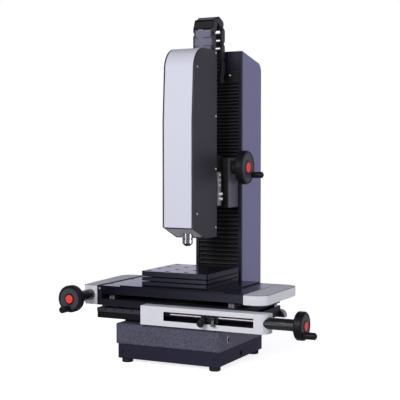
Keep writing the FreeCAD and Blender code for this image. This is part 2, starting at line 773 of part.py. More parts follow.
def column_outline(inset, x):
    front = wall_front
    top = column_top - inset
    rear = column_rear - inset
    corner_start = Vector(x, slope_rear_y, slope_z - inset)
    corner_end = Vector(x, rear, slope_z - column_corner)
    corner_middle = Vector(x, slope_rear_y + (column_corner - inset) * 0.707,
                           slope_z - column_corner + (column_corner - inset) * 0.707)
    bottom_rear = Vector(x, rear, column_bottom)
    bottom_front = Vector(x, front, column_bottom)
    top_front = Vector(x, front, top)
    return Part.Face(Part.Wire([
        Part.LineSegment(bottom_front, top_front).toShape(),
        Part.LineSegment(top_front, corner_start).toShape(),
        Part.Arc(corner_start, corner_middle, corner_end).toShape(),
        Part.LineSegment(corner_end, bottom_rear).toShape(),
        Part.LineSegment(bottom_rear, bottom_front).toShape()]))


outer = column_outline(0, -column_width / 2).extrude(X * column_width)
inner = column_outline(column_cover_wall, -inner_edge).extrude(X * 2 * inner_edge)
save("column_cover", outer.cut(inner))

flange_edge = column_width / 2 - column_flange_width
frame_solids = []
for side in (-1, 1):
    near, far = side * flange_edge, side * column_width / 2
    frame_solids.append(block((min(near, far), max(near, far)), (column_front, wall_front),
                              (column_bottom, end_plate_top)))
top_plate = wide(column_width, (column_front, wall_front), (end_plate_top, column_top))
front_frame = frame_solids[0].fuse([frame_solids[1], top_plate])
save("column_front_frame", front_frame.removeSplitter())

z_rails = []
rail_front = column_web_front - z_rail_height
for side in (-1, 1):
    rail = wide(z_rail_width, (rail_front, column_web_front), (column_bottom + 4, end_plate_bottom),
                side * z_rail_spacing / 2)
    z_rails.append(rail.makeChamfer(1.5, edges_along(rail, Z, lambda c: c.y < rail_front + 1)))
save("z_rails", *z_rails)



def toothed_rack(first_gap):
    """A rack as long as the travel, with a gap between two teeth at the level first_gap."""
    root_half, tip_half = tooth_flanks((gear_pitch - gear_backlash) / 4)
    root = rack_pitch_y + gear_root * gear_module
    tip = rack_pitch_y - gear_module
    idler_tip = z_idler_radius + gear_module
    below = math.ceil((z_travel_down + idler_tip) / gear_pitch)
    above = math.ceil((z_travel_up + idler_tip) / gear_pitch)
    points = []
    for tooth in range(-below, above):
        middle = first_gap + (tooth + 0.5) * gear_pitch
        points += [(root, middle - root_half), (tip, middle - tip_half),
                   (tip, middle + tip_half), (root, middle + root_half)]
    points += [(column_web_front, points[-1][1]), (column_web_front, points[0][1])]
    return side_prism(points, (-rack_width / 2, rack_width / 2))


idler_pitch_angle = 2 * math.pi / idler_teeth
idler_tooth = (mesh_angle + math.pi + idler_pitch_angle / 2) % idler_pitch_angle
save("z_rack", toothed_rack(z_idler_z + z_idler_radius * idler_tooth))

plate_width = 2 * flange_edge - 2 * slide_gap
upper_end_plate = wide(plate_width, (column_front, column_web_front), (end_plate_bottom, end_plate_top))
bracket_y = (chain_rear_y - link_height / 2, column_front)
bracket_z = (end_plate_bottom, chain_fixed_z)
inner_chain = chain_width - 2 * (link_plate + slide_gap)
tongue_width = chain_width - 4 * link_plate - 4 * slide_gap
chain_bracket = wide(tongue_width, bracket_y, bracket_z)
lower_end_plate = wide(plate_width, (column_front, column_web_front),
                       (column_bottom, column_bottom + end_plate_thickness))
save("bellows_end_plates", upper_end_plate.fuse(chain_bracket).removeSplitter(),
     lower_end_plate.cut(wide(z_rail_spacing + z_rail_width + 2,
                              (rail_front - 1, column_web_front + 1),
                              (column_bottom + 3.9, column_bottom + end_plate_thickness + 1))))


def bellows(bottom, top, pleats):
    """A pleated sheet: every pleat runs from the front fold to the rear fold and back."""
    half = (top - bottom) / (2 * pleats)
    front = []
    back = []
    for index in range(2 * pleats + 1):
        fold = bellows_front + (0 if index % 2 else bellows_depth - bellows_sheet)
        z = bottom + index * half
        front.append((fold, z))
        back.append((fold + bellows_sheet, z))
    return side_prism(front + back[::-1], (-bellows_width / 2, bellows_width / 2))


save("upper_bellows", bellows(block_top, end_plate_bottom, upper_pleats))
save("lower_bellows", bellows(column_bottom + end_plate_thickness, block_bottom, lower_pleats))

# Carriage: block with the neck that reaches through the bellows to four bearing cars

carriage = wide(block_width, (block_front, block_rear), (block_bottom, block_top))
carriage = carriage.makeChamfer(block_chamfer, edges_along(carriage, Z, lambda c: c.y < block_front + 1))
neck = wide(neck_width, (block_rear, neck_rear), (block_bottom, block_top))
shaft_room_start = Vector(z_shaft_end - slide_gap, block_middle_y, z_wheel_height)
shaft_room = rod(drive_shaft_diameter + 2 * running_fit, shaft_room_start, X,
                 z_hub_start + 1 - shaft_room_start.x)
pinion_tip = z_pinion_radius + gear_module + cover_gap
idler_tip = z_idler_radius + gear_module + cover_gap
gear_room = wide(gear_width + 2 * cover_gap, (block_middle_y - pinion_tip, neck_rear + 1),
                 (z_idler_z - idler_tip, z_wheel_height + pinion_tip))
idler_axle_length = gear_width + 2 * cover_gap + 2 * idler_axle_seat
idler_axle = rod(idler_axle_diameter, Vector(-idler_axle_length / 2, z_idler_y, z_idler_z), X,
                 idler_axle_length)
carriage = carriage.fuse(neck).cut([shaft_room, gear_room]).fuse(idler_axle)
save("carriage_block", carriage.removeSplitter())

idler_bore = rod(idler_axle_diameter + 2 * running_fit, Vector(-gear_width, z_idler_y, z_idler_z), X,
                 2 * gear_width)
save("z_idler", gear(idler_teeth, z_idler_y, z_idler_z, idler_tooth).cut(idler_bore))

hub_length = z_wheel_face - z_wheel_width - slide_gap - z_hub_start
hub = tube(34.0, drive_shaft_diameter + 2 * running_fit,
           Vector(z_hub_start, block_middle_y, z_wheel_height), X, hub_length)
save("z_drive_hub", hub)

z_cars = []
car_ends = (block_bottom + 12, block_top - 12 - car_length)
for side in (-1, 1):
    for low in car_ends:
        car = wide(car_width, (neck_rear, column_web_front - 2), (low, low + car_length),
                   side * z_rail_spacing / 2)
        groove = wide(z_rail_width + 2 * slide_gap, (rail_front - slide_gap, column_web_front),
                      (low - 1, low + car_length + 1), side * z_rail_spacing / 2)
        z_cars.append(car.cut(groove))
save("z_bearing_cars", *z_cars)

bridge = wide(bridge_width, (head_rear, block_front), (bridge_bottom, bridge_top))
save("head_bridge", bridge)

strip_y = (head_rear + 2, head_rear + 2 + strip_depth)
strip_x = (bridge_width / 2, bridge_width / 2 + strip_thickness)
save("connector_strip", block(strip_x, strip_y, (strip_bottom, strip_bottom + strip_height)))

# Measuring head: two side plates, wrapped front panel, spine, bottom cover and the optics


def head_face(x, inset):
    """The head's side outline, drawn inwards by inset on the front, top and bottom."""
    front = head_front + inset
    top = head_top - inset
    slope = (head_panel_bottom - head_bottom) / head_chamfer_depth
    chamfer_lift = inset * math.sqrt(1 + slope ** 2)
    lean_y = front + head_lean
    arc_end_y = lean_y + head_crown_depth
    points = [
        Vector(x, head_rear, head_bottom + inset),
        Vector(x, head_front + head_chamfer_depth + inset * slope, head_bottom + inset),
        Vector(x, front, head_panel_bottom + chamfer_lift - inset * slope),
        Vector(x, front, head_straight_top),
        Vector(x, lean_y, head_lean_top),
        Vector(x, arc_end_y, top),
        Vector(x, head_rear, top)]
    arc_middle = Vector(x, lean_y + head_crown_shoulder[0], top - head_crown_shoulder[1])
    edges = []
    for index, start in enumerate(points):
        end = points[(index + 1) % len(points)]
        if index == 4:
            edges.append(Part.Arc(start, arc_middle, end).toShape())
        else:
            edges.append(Part.LineSegment(start, end).toShape())
    return Part.Face(Part.Wire(edges))


left_plate = head_face(-head_width / 2, 0).extrude(X * side_plate)
right_plate = head_face(panel_edge, 0).extrude(X * side_plate)
save("head_side_plates", left_plate, right_plate)

core_outer = head_face(-panel_edge, 0).extrude(X * 2 * panel_edge)
core_inner = head_face(-panel_edge, panel_thickness).extrude(X * 2 * panel_edge)
core_wall = core_outer.cut(core_inner)
spine_front = head_rear - spine_thickness
above_chamfer = wide(2 * head_width, (head_front - 1, spine_front), (head_panel_bottom, head_top + 1))
below_chamfer = wide(2 * head_width, (head_front - 1, spine_front), (head_bottom - 1, head_panel_bottom))
front_panel = core_wall.common(above_chamfer)
bottom_cover = core_wall.common(below_chamfer)
objective_room = rod(objective_diameter + 2 * cover_gap,
                     Vector(0, optical_axis_y, objective_tip_z), Z, head_panel_bottom - objective_tip_z)
save("head_front_panel", front_panel)
save("head_bottom_cover", bottom_cover.cut(objective_room))

spine = wide(2 * panel_edge, (spine_front, head_rear), (head_bottom, head_top))
moving_leg_bottom = arch_z - chain_moving_links * link_pitch
leg_bracket = wide(inner_chain, (head_rear, chain_front_y + link_height / 2),
                   (moving_leg_bottom - 8, moving_leg_bottom))
save("head_spine", spine.fuse(leg_bracket).removeSplitter())

barrel_bottom = objective_tip_z + objective_tip_height
barrel_top = barrel_bottom + objective_barrel
barrel = turned([(0, 0), (objective_diameter * 0.42, 0), (objective_diameter / 2, 2.0),
                 (objective_diameter / 2, 12.0), (objective_diameter / 2 - 0.6, 12.6),
                 (objective_diameter / 2 - 0.6, 16.0), (objective_diameter / 2, 16.6),
                 (objective_diameter / 2, objective_barrel), (0, objective_barrel)],
                Vector(0, optical_axis_y, barrel_bottom), Z)
tip = turned([(0, 0), (objective_tip_diameter / 2, 0), (objective_diameter * 0.40, objective_tip_height),
              (0, objective_tip_height)], Vector(0, optical_axis_y, objective_tip_z), Z)
save("objective", barrel, tip)

neck_top = barrel_top + objective_neck_length
optics_top = neck_top + optics_tube_length
optics = rod(objective_neck_diameter, Vector(0, optical_axis_y, barrel_top), Z, objective_neck_length)
optics = optics.fuse(rod(optics_tube_diameter, Vector(0, optical_axis_y, neck_top), Z,
                         optics_tube_length))
holder_bottom = neck_top + optics_holder_rise
holder = wide(optics_holder_width, (optical_axis_y, spine_front),
              (holder_bottom, holder_bottom + optics_holder_height))
save("optics_tube", optics.fuse(holder).removeSplitter())
camera_y = (optical_axis_y - camera_size / 2, optical_axis_y + camera_size / 2)
save("camera", wide(camera_size, camera_y, (optics_top, optics_top + camera_height)))

# Energy chain: alternating inner and outer links, up behind the head and down to the column


def link(is_outer):
    """One link along Z between two pivots, centred on the chain's middle line."""
    outer_x = chain_width / 2 if is_outer else chain_width / 2 - link_plate - slide_gap
    inner_x = outer_x - link_plate
    plates = []
    for side in (-1, 1):
        near, far = side * inner_x, side * outer_x
        low = min(near, far)
        plate = block((low, low + link_plate), (-link_height / 2, link_height / 2), (0, link_pitch))
        ends = [rod(link_height, Vector(low, 0, z), X, link_plate) for z in (0, link_pitch)]
        plates.append(plate.fuse(ends).removeSplitter())
    bar_y = link_height / 2 - link_bar
    bars = []
    for y in (-link_height / 2, bar_y):
        bars.append(wide(2 * inner_x, (y, y + link_bar), (link_pitch / 2 - 2.8, link_pitch / 2 + 2.8)))
    return plates[0].fuse([plates[1]] + bars)


def placed(shape, base, turn=0.0):
    copy = shape.copy()
    copy.Placement = FreeCAD.Placement(base, FreeCAD.Rotation(X, turn))
    return copy


def straight_leg(y, bottom, count, first_is_outer):
    links = []
    for index in range(count):
        is_outer = first_is_outer == (index % 2 == 0)
        links.append(placed(link(is_outer), Vector(0, y, bottom + index * link_pitch)))
    return links


def arch_link(step, is_outer):
    angle = math.radians(180.0 - step * arch_turn)
    centre_y = chain_front_y + arch_radius
    start = Vector(0, centre_y + arch_radius * math.cos(angle), arch_z + arch_radius * math.sin(angle))
    return placed(link(is_outer), start, -arch_turn * (step + 0.5))


save("chain_moving_leg", *straight_leg(chain_front_y, moving_leg_bottom, chain_moving_links, True))
save("chain_arch_front", arch_link(0, True), arch_link(1, False))
save("chain_arch_rear", arch_link(2, True), arch_link(3, False))
save("chain_fixed_leg", *straight_leg(chain_rear_y, chain_fixed_z, chain_fixed_links, False))
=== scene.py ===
# Three-dimensional surface profiler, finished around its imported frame.
# Metres, +Z up, +X right, +Y back towards the column. Origin: floor level under the middle of the base.
import json
import math

import bmesh
import bpy
from mathutils import Matrix, Vector


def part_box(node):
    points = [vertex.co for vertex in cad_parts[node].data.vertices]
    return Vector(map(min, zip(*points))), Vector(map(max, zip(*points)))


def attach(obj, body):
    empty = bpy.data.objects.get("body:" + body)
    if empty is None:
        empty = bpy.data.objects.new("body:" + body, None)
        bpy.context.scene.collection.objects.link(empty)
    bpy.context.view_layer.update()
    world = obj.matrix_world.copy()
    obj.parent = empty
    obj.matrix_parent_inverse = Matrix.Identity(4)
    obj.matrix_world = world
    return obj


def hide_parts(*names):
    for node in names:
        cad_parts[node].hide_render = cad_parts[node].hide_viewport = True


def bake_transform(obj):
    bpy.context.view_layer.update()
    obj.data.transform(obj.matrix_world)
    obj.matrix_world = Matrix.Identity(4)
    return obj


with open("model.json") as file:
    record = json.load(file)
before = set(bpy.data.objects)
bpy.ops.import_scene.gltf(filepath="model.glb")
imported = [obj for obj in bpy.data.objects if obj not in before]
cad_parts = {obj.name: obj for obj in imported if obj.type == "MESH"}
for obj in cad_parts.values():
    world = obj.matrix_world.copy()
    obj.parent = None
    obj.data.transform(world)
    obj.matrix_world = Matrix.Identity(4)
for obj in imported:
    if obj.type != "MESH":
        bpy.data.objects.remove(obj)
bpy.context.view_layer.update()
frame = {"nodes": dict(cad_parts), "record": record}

# Studio
# A camera at the photograph's angle, with its optical axis a little left of the picture's middle.
camera_place = (1.0799, -2.1556, 0.4916)
camera_target = (0.0, 0.0, 0.3905)
picture_pixels = 400
focal_pixels = 979.4
optical_axis_pixel = 191.7
sensor_width = 36.0


def placed(name, data):
    """A new object in the scene that holds a mesh, a lamp or the camera."""
    holder = bpy.data.objects.new(name, data)
    bpy.context.scene.collection.objects.link(holder)
    return holder


def aimed(holder, place, target):
    holder.location = place
    holder.rotation_euler = (Vector(target) - Vector(place)).to_track_quat("-Z", "Y").to_euler()


camera_data = bpy.data.cameras.new("photo_camera")
camera_data.sensor_width = sensor_width
camera_data.lens = sensor_width * focal_pixels / picture_pixels
camera_data.shift_x = 0.5 - optical_axis_pixel / picture_pixels
camera = placed("photo_camera", camera_data)
aimed(camera, camera_place, camera_target)
bpy.context.scene.camera = camera
bpy.context.scene.view_settings.view_transform = "Standard"

# White paper stands behind the object, and the camera's side of the room is dark, so that the black
# faces stay black, but for one small bright window that shows in their gloss.
# Soft light comes from all round and little of it from above.
room_light = 0.60
ceiling_light = 0.03
ceiling_fade = (0.0, 0.8)
soft_colour = (0.96, 0.96, 1.0, 1.0)
backdrop_direction = (-0.447, 0.894, 0.0)
backdrop_fade = (0.45, 0.95)
dark_side = 0.10
overhead_fade = (0.2, 0.7)
overhead_mirror = 0.25
window_direction = (-0.33, -0.93, -0.13)
window_fade = (0.984, 1.0)
window_level = 7.0
mirror_colour = (0.80, 0.785, 1.0, 1.0)
paper_white = (1.0, 1.0, 1.0, 1.0)
room = bpy.data.worlds.new("studio_room")
bpy.context.scene.world = room
room.use_nodes = True
room_tree = room.node_tree
room_tree.nodes.clear()


def wire(node, inputs):
    """Gives each named input of a node a value, or a link from another node's socket."""
    for label, value in inputs.items():
        if isinstance(value, bpy.types.NodeSocket):
            node.id_data.links.new(value, node.inputs[label])
        else:
            node.inputs[label].default_value = value


def added(tree, kind, inputs=None, **settings):
    """A new node with its settings and inputs."""
    node = tree.nodes.new(kind)
    for label, value in settings.items():
        setattr(node, label, value)
    wire(node, inputs or {})
    return node


def made(tree, kind, wanted, inputs=None, **settings):
    """The wanted output of a new node."""
    return added(tree, kind, inputs, **settings).outputs[wanted]


def calc(operation, *values):
    """The result of a Math node on numbers and sockets, at least one of them a socket."""
    tree = next(value.id_data for value in values if isinstance(value, bpy.types.NodeSocket))
    return made(tree, "ShaderNodeMath", "Value", dict(enumerate(values)), operation=operation)


def room_range(value, fade, low, high):
    """A smooth change of level from low to high over a range of directions."""
    return made(room_tree, "ShaderNodeMapRange", "Result",
                {"Value": value, "From Min": fade[0], "From Max": fade[1], "To Min": low, "To Max": high},
                interpolation_type="SMOOTHSTEP")


def room_towards(direction):
    """How closely a ray keeps to a direction."""
    return made(room_tree, "ShaderNodeVectorMath", "Value", {0: room_direction, 1: direction},
                operation="DOT_PRODUCT")


def room_part(colour, strength):
    return made(room_tree, "ShaderNodeBackground", "Background", {"Color": colour, "Strength": strength})


def room_choice(factor, first, second):
    return made(room_tree, "ShaderNodeMixShader", "Shader", {"Fac": factor, 1: first, 2: second})


room_direction = made(room_tree, "ShaderNodeTexCoord", "Generated")
room_height = made(room_tree, "ShaderNodeSeparateXYZ", "Z", {"Vector": room_direction})
soft_part = room_part(soft_colour, room_range(room_height, ceiling_fade, room_light, ceiling_light))
wall_mirror = room_range(room_towards(backdrop_direction), backdrop_fade, dark_side, 1.0)
ceiling_mirror = room_range(room_height, overhead_fade, 1.0, overhead_mirror)
window_mirror = room_range(room_towards(window_direction), window_fade, 0.0, window_level)
mirror_level = calc("ADD", calc("MULTIPLY", wall_mirror, ceiling_mirror), window_mirror)
mirror_part = room_part(mirror_colour, mirror_level)
room_ray = added(room_tree, "ShaderNodeLightPath").outputs
bent_part = room_choice(room_ray["Is Glossy Ray"], soft_part, mirror_part)
added(room_tree, "ShaderNodeOutputWorld",
      {"Surface": room_choice(room_ray["Is Camera Ray"], bent_part, room_part(paper_white, 1.0))})

lamp_target = (0.0, 0.0, 0.4)
lamp_size = 1.2
for name, place, watts in (("key_light", (0.0, -2.8, 1.45), 57), ("side_light", (2.8, 0.3, 0.35), 27)):
    lamp = bpy.data.lights.new(name, "AREA")
    lamp.shape = "SQUARE"
    lamp.size = lamp_size
    lamp.energy = watts
    aimed(placed(name, lamp), place, lamp_target)

# The floor fades out into the paper behind, and is weaker in the black faces that mirror it.
floor_radius = 2.4
floor_sides = 96
floor_fade_start = 0.75
floor_fade_end = 1.6
floor_mirrored = 0.3
floor_lift = 0.8
floor_white = (0.94, 0.94, 0.94, 1.0)
floor_mesh = bpy.data.meshes.new("floor")
floor_mesh.from_pydata([(floor_radius * math.cos(math.tau * i / floor_sides),
                         floor_radius * math.sin(math.tau * i / floor_sides), 0.0) for i in range(floor_sides)],
                       [], [tuple(range(floor_sides))])
placed("floor", floor_mesh)
floor_paint = bpy.data.materials.new("pale_floor")
floor_paint.use_nodes = True
floor_tree = floor_paint.node_tree
floor_distance = made(floor_tree, "ShaderNodeVectorMath", "Value",
                      {0: made(floor_tree, "ShaderNodeTexCoord", "Object")}, operation="LENGTH")
floor_fade = made(floor_tree, "ShaderNodeMapRange", "Result",
                  {"Value": floor_distance, "From Min": floor_fade_start, "From Max": floor_fade_end,
                   "To Min": 1.0, "To Max": 0.0})
floor_ray = added(floor_tree, "ShaderNodeLightPath").outputs
floor_thin = made(floor_tree, "ShaderNodeMapRange", "Result",
                  {"Value": floor_ray["Is Glossy Ray"], "To Min": 1.0, "To Max": floor_mirrored})
wire(floor_tree.nodes["Principled BSDF"],
     {"Base Color": floor_white, "Roughness": 0.55, "Specular IOR Level": 0.2,
      "Alpha": calc("MULTIPLY", floor_fade, floor_thin), "Emission Color": paper_white,
      "Emission Strength": calc("MULTIPLY", floor_ray["Is Camera Ray"], floor_lift)})
floor_mesh.materials.append(floor_paint)

# Rubber feet
# Six turned pads of black rubber, four under the base and two under the column's pedestal.
# They are bonded to the sheet metal and carry the whole weight.


def new_group(tree_kind, name, ends_in, numbers, ends_out):
    """An empty node group: gives the group, the sockets of its input node and its output node."""
    group = bpy.data.node_groups.new(name, tree_kind)
    for in_out, ends in (("INPUT", ends_in), ("OUTPUT", ends_out)):
        for label, kind in ends.items():
            group.interface.new_socket(label, in_out=in_out, socket_type="NodeSocket" + kind)
    for label, value in numbers.items():
        kind = {float: "Float", int: "Int", tuple: "Vector"}[type(value)]
        socket = group.interface.new_socket(label.replace("_", " "), in_out="INPUT", socket_type="NodeSocket" + kind)
        socket.default_value = value
    return group, group.nodes.new("NodeGroupInput").outputs, group.nodes.new("NodeGroupOutput")


def surface_group(name, **numbers):
    """An empty surface group: a colour and numbers go in, and colour, roughness and normal come out."""
    return new_group("ShaderNodeTree", name, {"Color": "Color"}, numbers,
                     {"Color": "Color", "Roughness": "Float", "Normal": "Vector"})


def spread(value, low, high):
    """Maps a 0 to 1 value onto low to high, which are sockets or numbers."""
    return made(value.id_data, "ShaderNodeMapRange", "Result", {"Value": value, "To Min": low, "To Max": high})


def swing(value, size):
    """Turns a 0 to 1 value into a change to both sides of nought."""
    return calc("MULTIPLY", calc("SUBTRACT", value, 0.5), size)


def shade(colour, factor):
    """A colour times a grey factor."""
    return made(colour.id_data, "ShaderNodeVectorMath", "Vector", {"Vector": colour, "Scale": factor},
                operation="SCALE")


def noise(tree, scale, detail, roughness=0.5, place=None):
    """Noise over the piece's own coordinates, in cycles per metre."""
    if place is None:
        place = made(tree, "ShaderNodeTexCoord", "Object")
    return made(tree, "ShaderNodeTexNoise", "Fac",
                {"Vector": place, "Scale": scale, "Detail": detail, "Roughness": roughness})


def bump(height, strength, distance):
    return made(height.id_data, "ShaderNodeBump", "Normal",
                {"Height": height, "Strength": strength, "Distance": distance})


def moulded_grain_group():
    """Spark-eroded texture of moulded rubber and plastic, with paler rubbed patches."""
    group, given, result = surface_group("Moulded Grain", Grain=1600.0, Depth=0.3, Rubbing=0.25, Roughness=0.5)
    fine = noise(group, given["Grain"], 3.0)
    broad = noise(group, 38.0, 4.0, 0.6)
    lift = spread(broad, 0.86, calc("ADD", 1.0, given["Rubbing"]))
    rough = calc("SUBTRACT", given["Roughness"], calc("MULTIPLY", broad, 0.12))
    wire(result, {"Color": shade(given["Color"], lift),
                  "Roughness": calc("ADD", rough, calc("MULTIPLY", fine, 0.08)),
                  "Normal": bump(fine, given["Depth"], 0.0002)})
    return group


moulded_grain = moulded_grain_group()


def finish(name, group, colour, metallic=0.0, specular=0.5, **numbers):
    """A material whose colour, roughness and normal come from one of the surface groups."""
    material = bpy.data.materials.new(name)
    material.use_nodes = True
    tree = material.node_tree
    given = {label.replace("_", " "): value for label, value in numbers.items()}
    surface = added(tree, "ShaderNodeGroup", {"Color": (*colour, 1.0), **given}, node_tree=group, name="surface")
    wire(tree.nodes["Principled BSDF"],
         {"Metallic": metallic, "Specular IOR Level": specular, "Base Color": surface.outputs["Color"],
          "Roughness": surface.outputs["Roughness"], "Normal": surface.outputs["Normal"]})
    return material


def paint_node(node, material):
    """Gives a piece of the frame its finish."""
    mesh = frame["nodes"][node].data
    mesh.materials.clear()
    mesh.materials.append(material)


foot_rubber = finish("foot_rubber", moulded_grain, (0.016, 0.016, 0.017), specular=0.3,
                     Grain=900.0, Depth=0.35, Roughness=0.82)
paint_node("rubber_feet", foot_rubber)

# Plinth
# A folded sheet-metal box in dark navy powder coat that closes the base below the granite.
# Button-head screws hold its walls, and a cable port opens on the right side.


def varied(colour, value, share):
    """A colour that a 0 to 1 value makes darker and paler by a share."""
    return shade(colour, spread(value, calc("SUBTRACT", 1.0, share), calc("ADD", 1.0, share)))


def powder_coat_group():
    """Sprayed and baked paint: orange peel, faint unevenness and handling marks."""
    group, given, result = surface_group("Powder Coat", Peel=700.0, Peel_Depth=0.1, Unevenness=0.04, Roughness=0.4)
    peel = noise(group, given["Peel"], 2.0)
    broad = noise(group, 9.0, 3.0, 0.55)
    handling = noise(group, 55.0, 5.0, 0.65)
    wire(result, {"Color": varied(given["Color"], broad, given["Unevenness"]),
                  "Roughness": calc("ADD", given["Roughness"], swing(handling, 0.16)),
                  "Normal": bump(peel, given["Peel Depth"], 0.0003)})
    return group


powder_coat = powder_coat_group()
body_of = {node: body for body, members in frame["record"]["behaviour"]["bodies"].items() for node in members}
merge_distance = 2e-6
flat_angle = math.radians(0.6)
sharp_angle = math.radians(35.0)


def stands_for(piece, node):
    """A finished piece takes a node's place on its body."""
    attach(piece, body_of[node])
    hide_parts(node)


def carried(piece, body):
    """A finished piece that the frame has no node for goes on a body."""
    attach(piece, body)


def settled(shaped):
    """The plain mesh piece that an object's modifiers make; the shaped object is removed."""
    name = shaped.name
    mesh = bpy.data.meshes.new_from_object(shaped.evaluated_get(bpy.context.evaluated_depsgraph_get()))
    bpy.data.objects.remove(shaped)
    mesh.name = name
    return placed(name, mesh)


def edged_copy(node, name, material, width, segments=2):
    """A node's own form with its sharp edges broken by a small round, as machined and folded pieces have."""
    mesh = frame["nodes"][node].data.copy()
    mesh.materials.clear()
    mesh.materials.append(material)
    form = bmesh.new()
    form.from_mesh(mesh)
    bmesh.ops.remove_doubles(form, verts=form.verts, dist=merge_distance)
    bmesh.ops.dissolve_limit(form, angle_limit=flat_angle, verts=form.verts, edges=form.edges)
    for face in form.faces:
        face.smooth = True
        face.material_index = 0
    form.to_mesh(mesh)
    form.free()
    if "custom_normal" in mesh.attributes:
        mesh.attributes.remove(mesh.attributes["custom_normal"])
    mesh.set_sharp_from_angle(angle=sharp_angle)
    shaped = placed(name, mesh)
    edge_round = shaped.modifiers.new("edge_round", "BEVEL")
    edge_round.width = width
    edge_round.segments = segments
    edge_round.limit_method = "ANGLE"
    edge_round.angle_limit = sharp_angle
    edge_round.use_clamp_overlap = False
    edge_round.harden_normals = True
    return settled(shaped)


def broken_edges(node, name, material, width, segments=2):
    """An edged copy that takes the node's place on its body."""
    piece = edged_copy(node, name, material, width, segments)
    stands_for(piece, node)
    return piece


plinth_paint = finish("plinth_paint", powder_coat, (0.018, 0.0165, 0.037), specular=0.2,
                      Peel=900.0, Peel_Depth=0.25, Unevenness=0.12, Roughness=0.5)
broken_edges("plinth", "plinth_box", plinth_paint, 0.0006)
broken_edges("rear_pedestal", "pedestal_box", plinth_paint, 0.0015, 3)


def shape_group(name, **numbers):
    """An empty geometry group that is given sizes and a finish."""
    return new_group("GeometryNodeTree", name, {"Geometry": "Geometry", "Finish": "Material"}, numbers,
                     {"Geometry": "Geometry"})


def hand_on(shape, given, result):
    """The end of a geometry group: plain mesh in the given finish."""
    tree = shape.id_data
    real = made(tree, "GeometryNodeRealizeInstances", "Geometry", {"Geometry": shape})
    wire(result, {"Geometry": made(tree, "GeometryNodeSetMaterial", "Geometry",
                                   {"Geometry": real, "Material": given["Finish"]})})


def on_points(given, shape, scale=(1.0, 1.0, 1.0)):
    """A shape on each given point, turned the way that the point faces."""
    tree = shape.id_data
    facing = made(tree, "GeometryNodeInputNamedAttribute", "Attribute", {"Name": "facing"},
                  data_type="FLOAT_VECTOR")
    turn = made(tree, "FunctionNodeAlignRotationToVector", "Rotation", {"Vector": facing}, axis="Z")
    return made(tree, "GeometryNodeInstanceOnPoints", "Instances",
                {"Points": given["Geometry"], "Instance": shape, "Rotation": turn, "Scale": scale})


def socket_screw_tree():
    """Cap screws with a broken edge and a hexagon socket, one on each point of the input."""
    tree, given, result = shape_group("Socket Screws", Head_Radius=0.003, Head_Height=0.002, Socket_Radius=0.0015,
                                      Socket_Depth=0.001)
    head = added(tree, "GeometryNodeMeshCylinder",
                 {"Vertices": 24, "Side Segments": 4, "Radius": given["Head Radius"],
                  "Depth": given["Head Height"]}).outputs
    rim = made(tree, "GeometryNodeScaleElements", "Geometry",
               {"Geometry": head["Mesh"], "Selection": head["Top"], "Scale": 0.86})
    hexagon = made(tree, "GeometryNodeMeshCylinder", "Mesh",
                   {"Vertices": 6, "Radius": given["Socket Radius"],
                    "Depth": calc("MULTIPLY", given["Socket Depth"], 2.0)})
    lift = made(tree, "ShaderNodeCombineXYZ", "Vector", {"Z": calc("MULTIPLY", given["Head Height"], 0.5)})
    seat = made(tree, "GeometryNodeTransform", "Geometry", {"Geometry": hexagon, "Translation": lift})
    cut = made(tree, "GeometryNodeMeshBoolean", "Mesh", {"Mesh 1": rim, "Mesh 2": seat}, operation="DIFFERENCE",
               solver="EXACT")
    screw = made(tree, "GeometryNodeTransform", "Geometry", {"Geometry": cut, "Translation": lift})
    hand_on(on_points(given, screw), given, result)
    return tree


def point_rows(name, places, facings):
    """A mesh of loose points, each with the direction that it faces."""
    mesh = bpy.data.meshes.new(name)
    mesh.from_pydata([tuple(place) for place in places], [], [])
    layer = mesh.attributes.new("facing", "FLOAT_VECTOR", "POINT")
    for index, facing in enumerate(facings):
        layer.data[index].vector = facing
    return placed(name, mesh)


def shaped_by(points, tree, values):
    """Points with a geometry tree on them; its inputs are set by their socket identifiers."""
    maker = points.modifiers.new("maker", "NODES")
    maker.node_group = tree
    for item in tree.interface.items_tree:
        if item.item_type == "SOCKET" and item.in_out == "INPUT" and item.name in values:
            maker[item.identifier] = values[item.name]
    return points


socket_screws = socket_screw_tree()
socket_share = 0.6


def screw_set(name, body, material, places, facing, size):
    """Screws on one body that all face one way; size is (head radius, head height, socket radius)."""
    head_radius, head_height, socket_radius = size
    points = point_rows(name, places, [facing] * len(places))
    screws = settled(shaped_by(points, socket_screws, {
        "Head Radius": head_radius, "Head Height": head_height, "Socket Radius": socket_radius,
        "Socket Depth": head_height * socket_share, "Finish": material}))
    carried(screws, body)


def machined_grain_group():
    """Ground, turned or brushed metal: fine lines along one direction, with faint stains."""
    group, given, result = surface_group("Machined Grain", Lines=(30.0, 2500.0, 2500.0), Contrast=0.12, Groove=0.08,
                                         Roughness=0.3)
    place = made(group, "ShaderNodeTexCoord", "Object")
    stretched = made(group, "ShaderNodeVectorMath", "Vector", {0: place, 1: given["Lines"]}, operation="MULTIPLY")
    lines = noise(group, 1.0, 3.0, 0.6, stretched)
    stains = noise(group, 30.0, 4.0, 0.6)
    uneven = calc("ADD", swing(lines, 0.2), swing(stains, 0.14))
    wire(result, {"Color": varied(given["Color"], lines, given["Contrast"]),
                  "Roughness": calc("ADD", given["Roughness"], uneven),
                  "Normal": bump(lines, given["Groove"], 0.0001)})
    return group


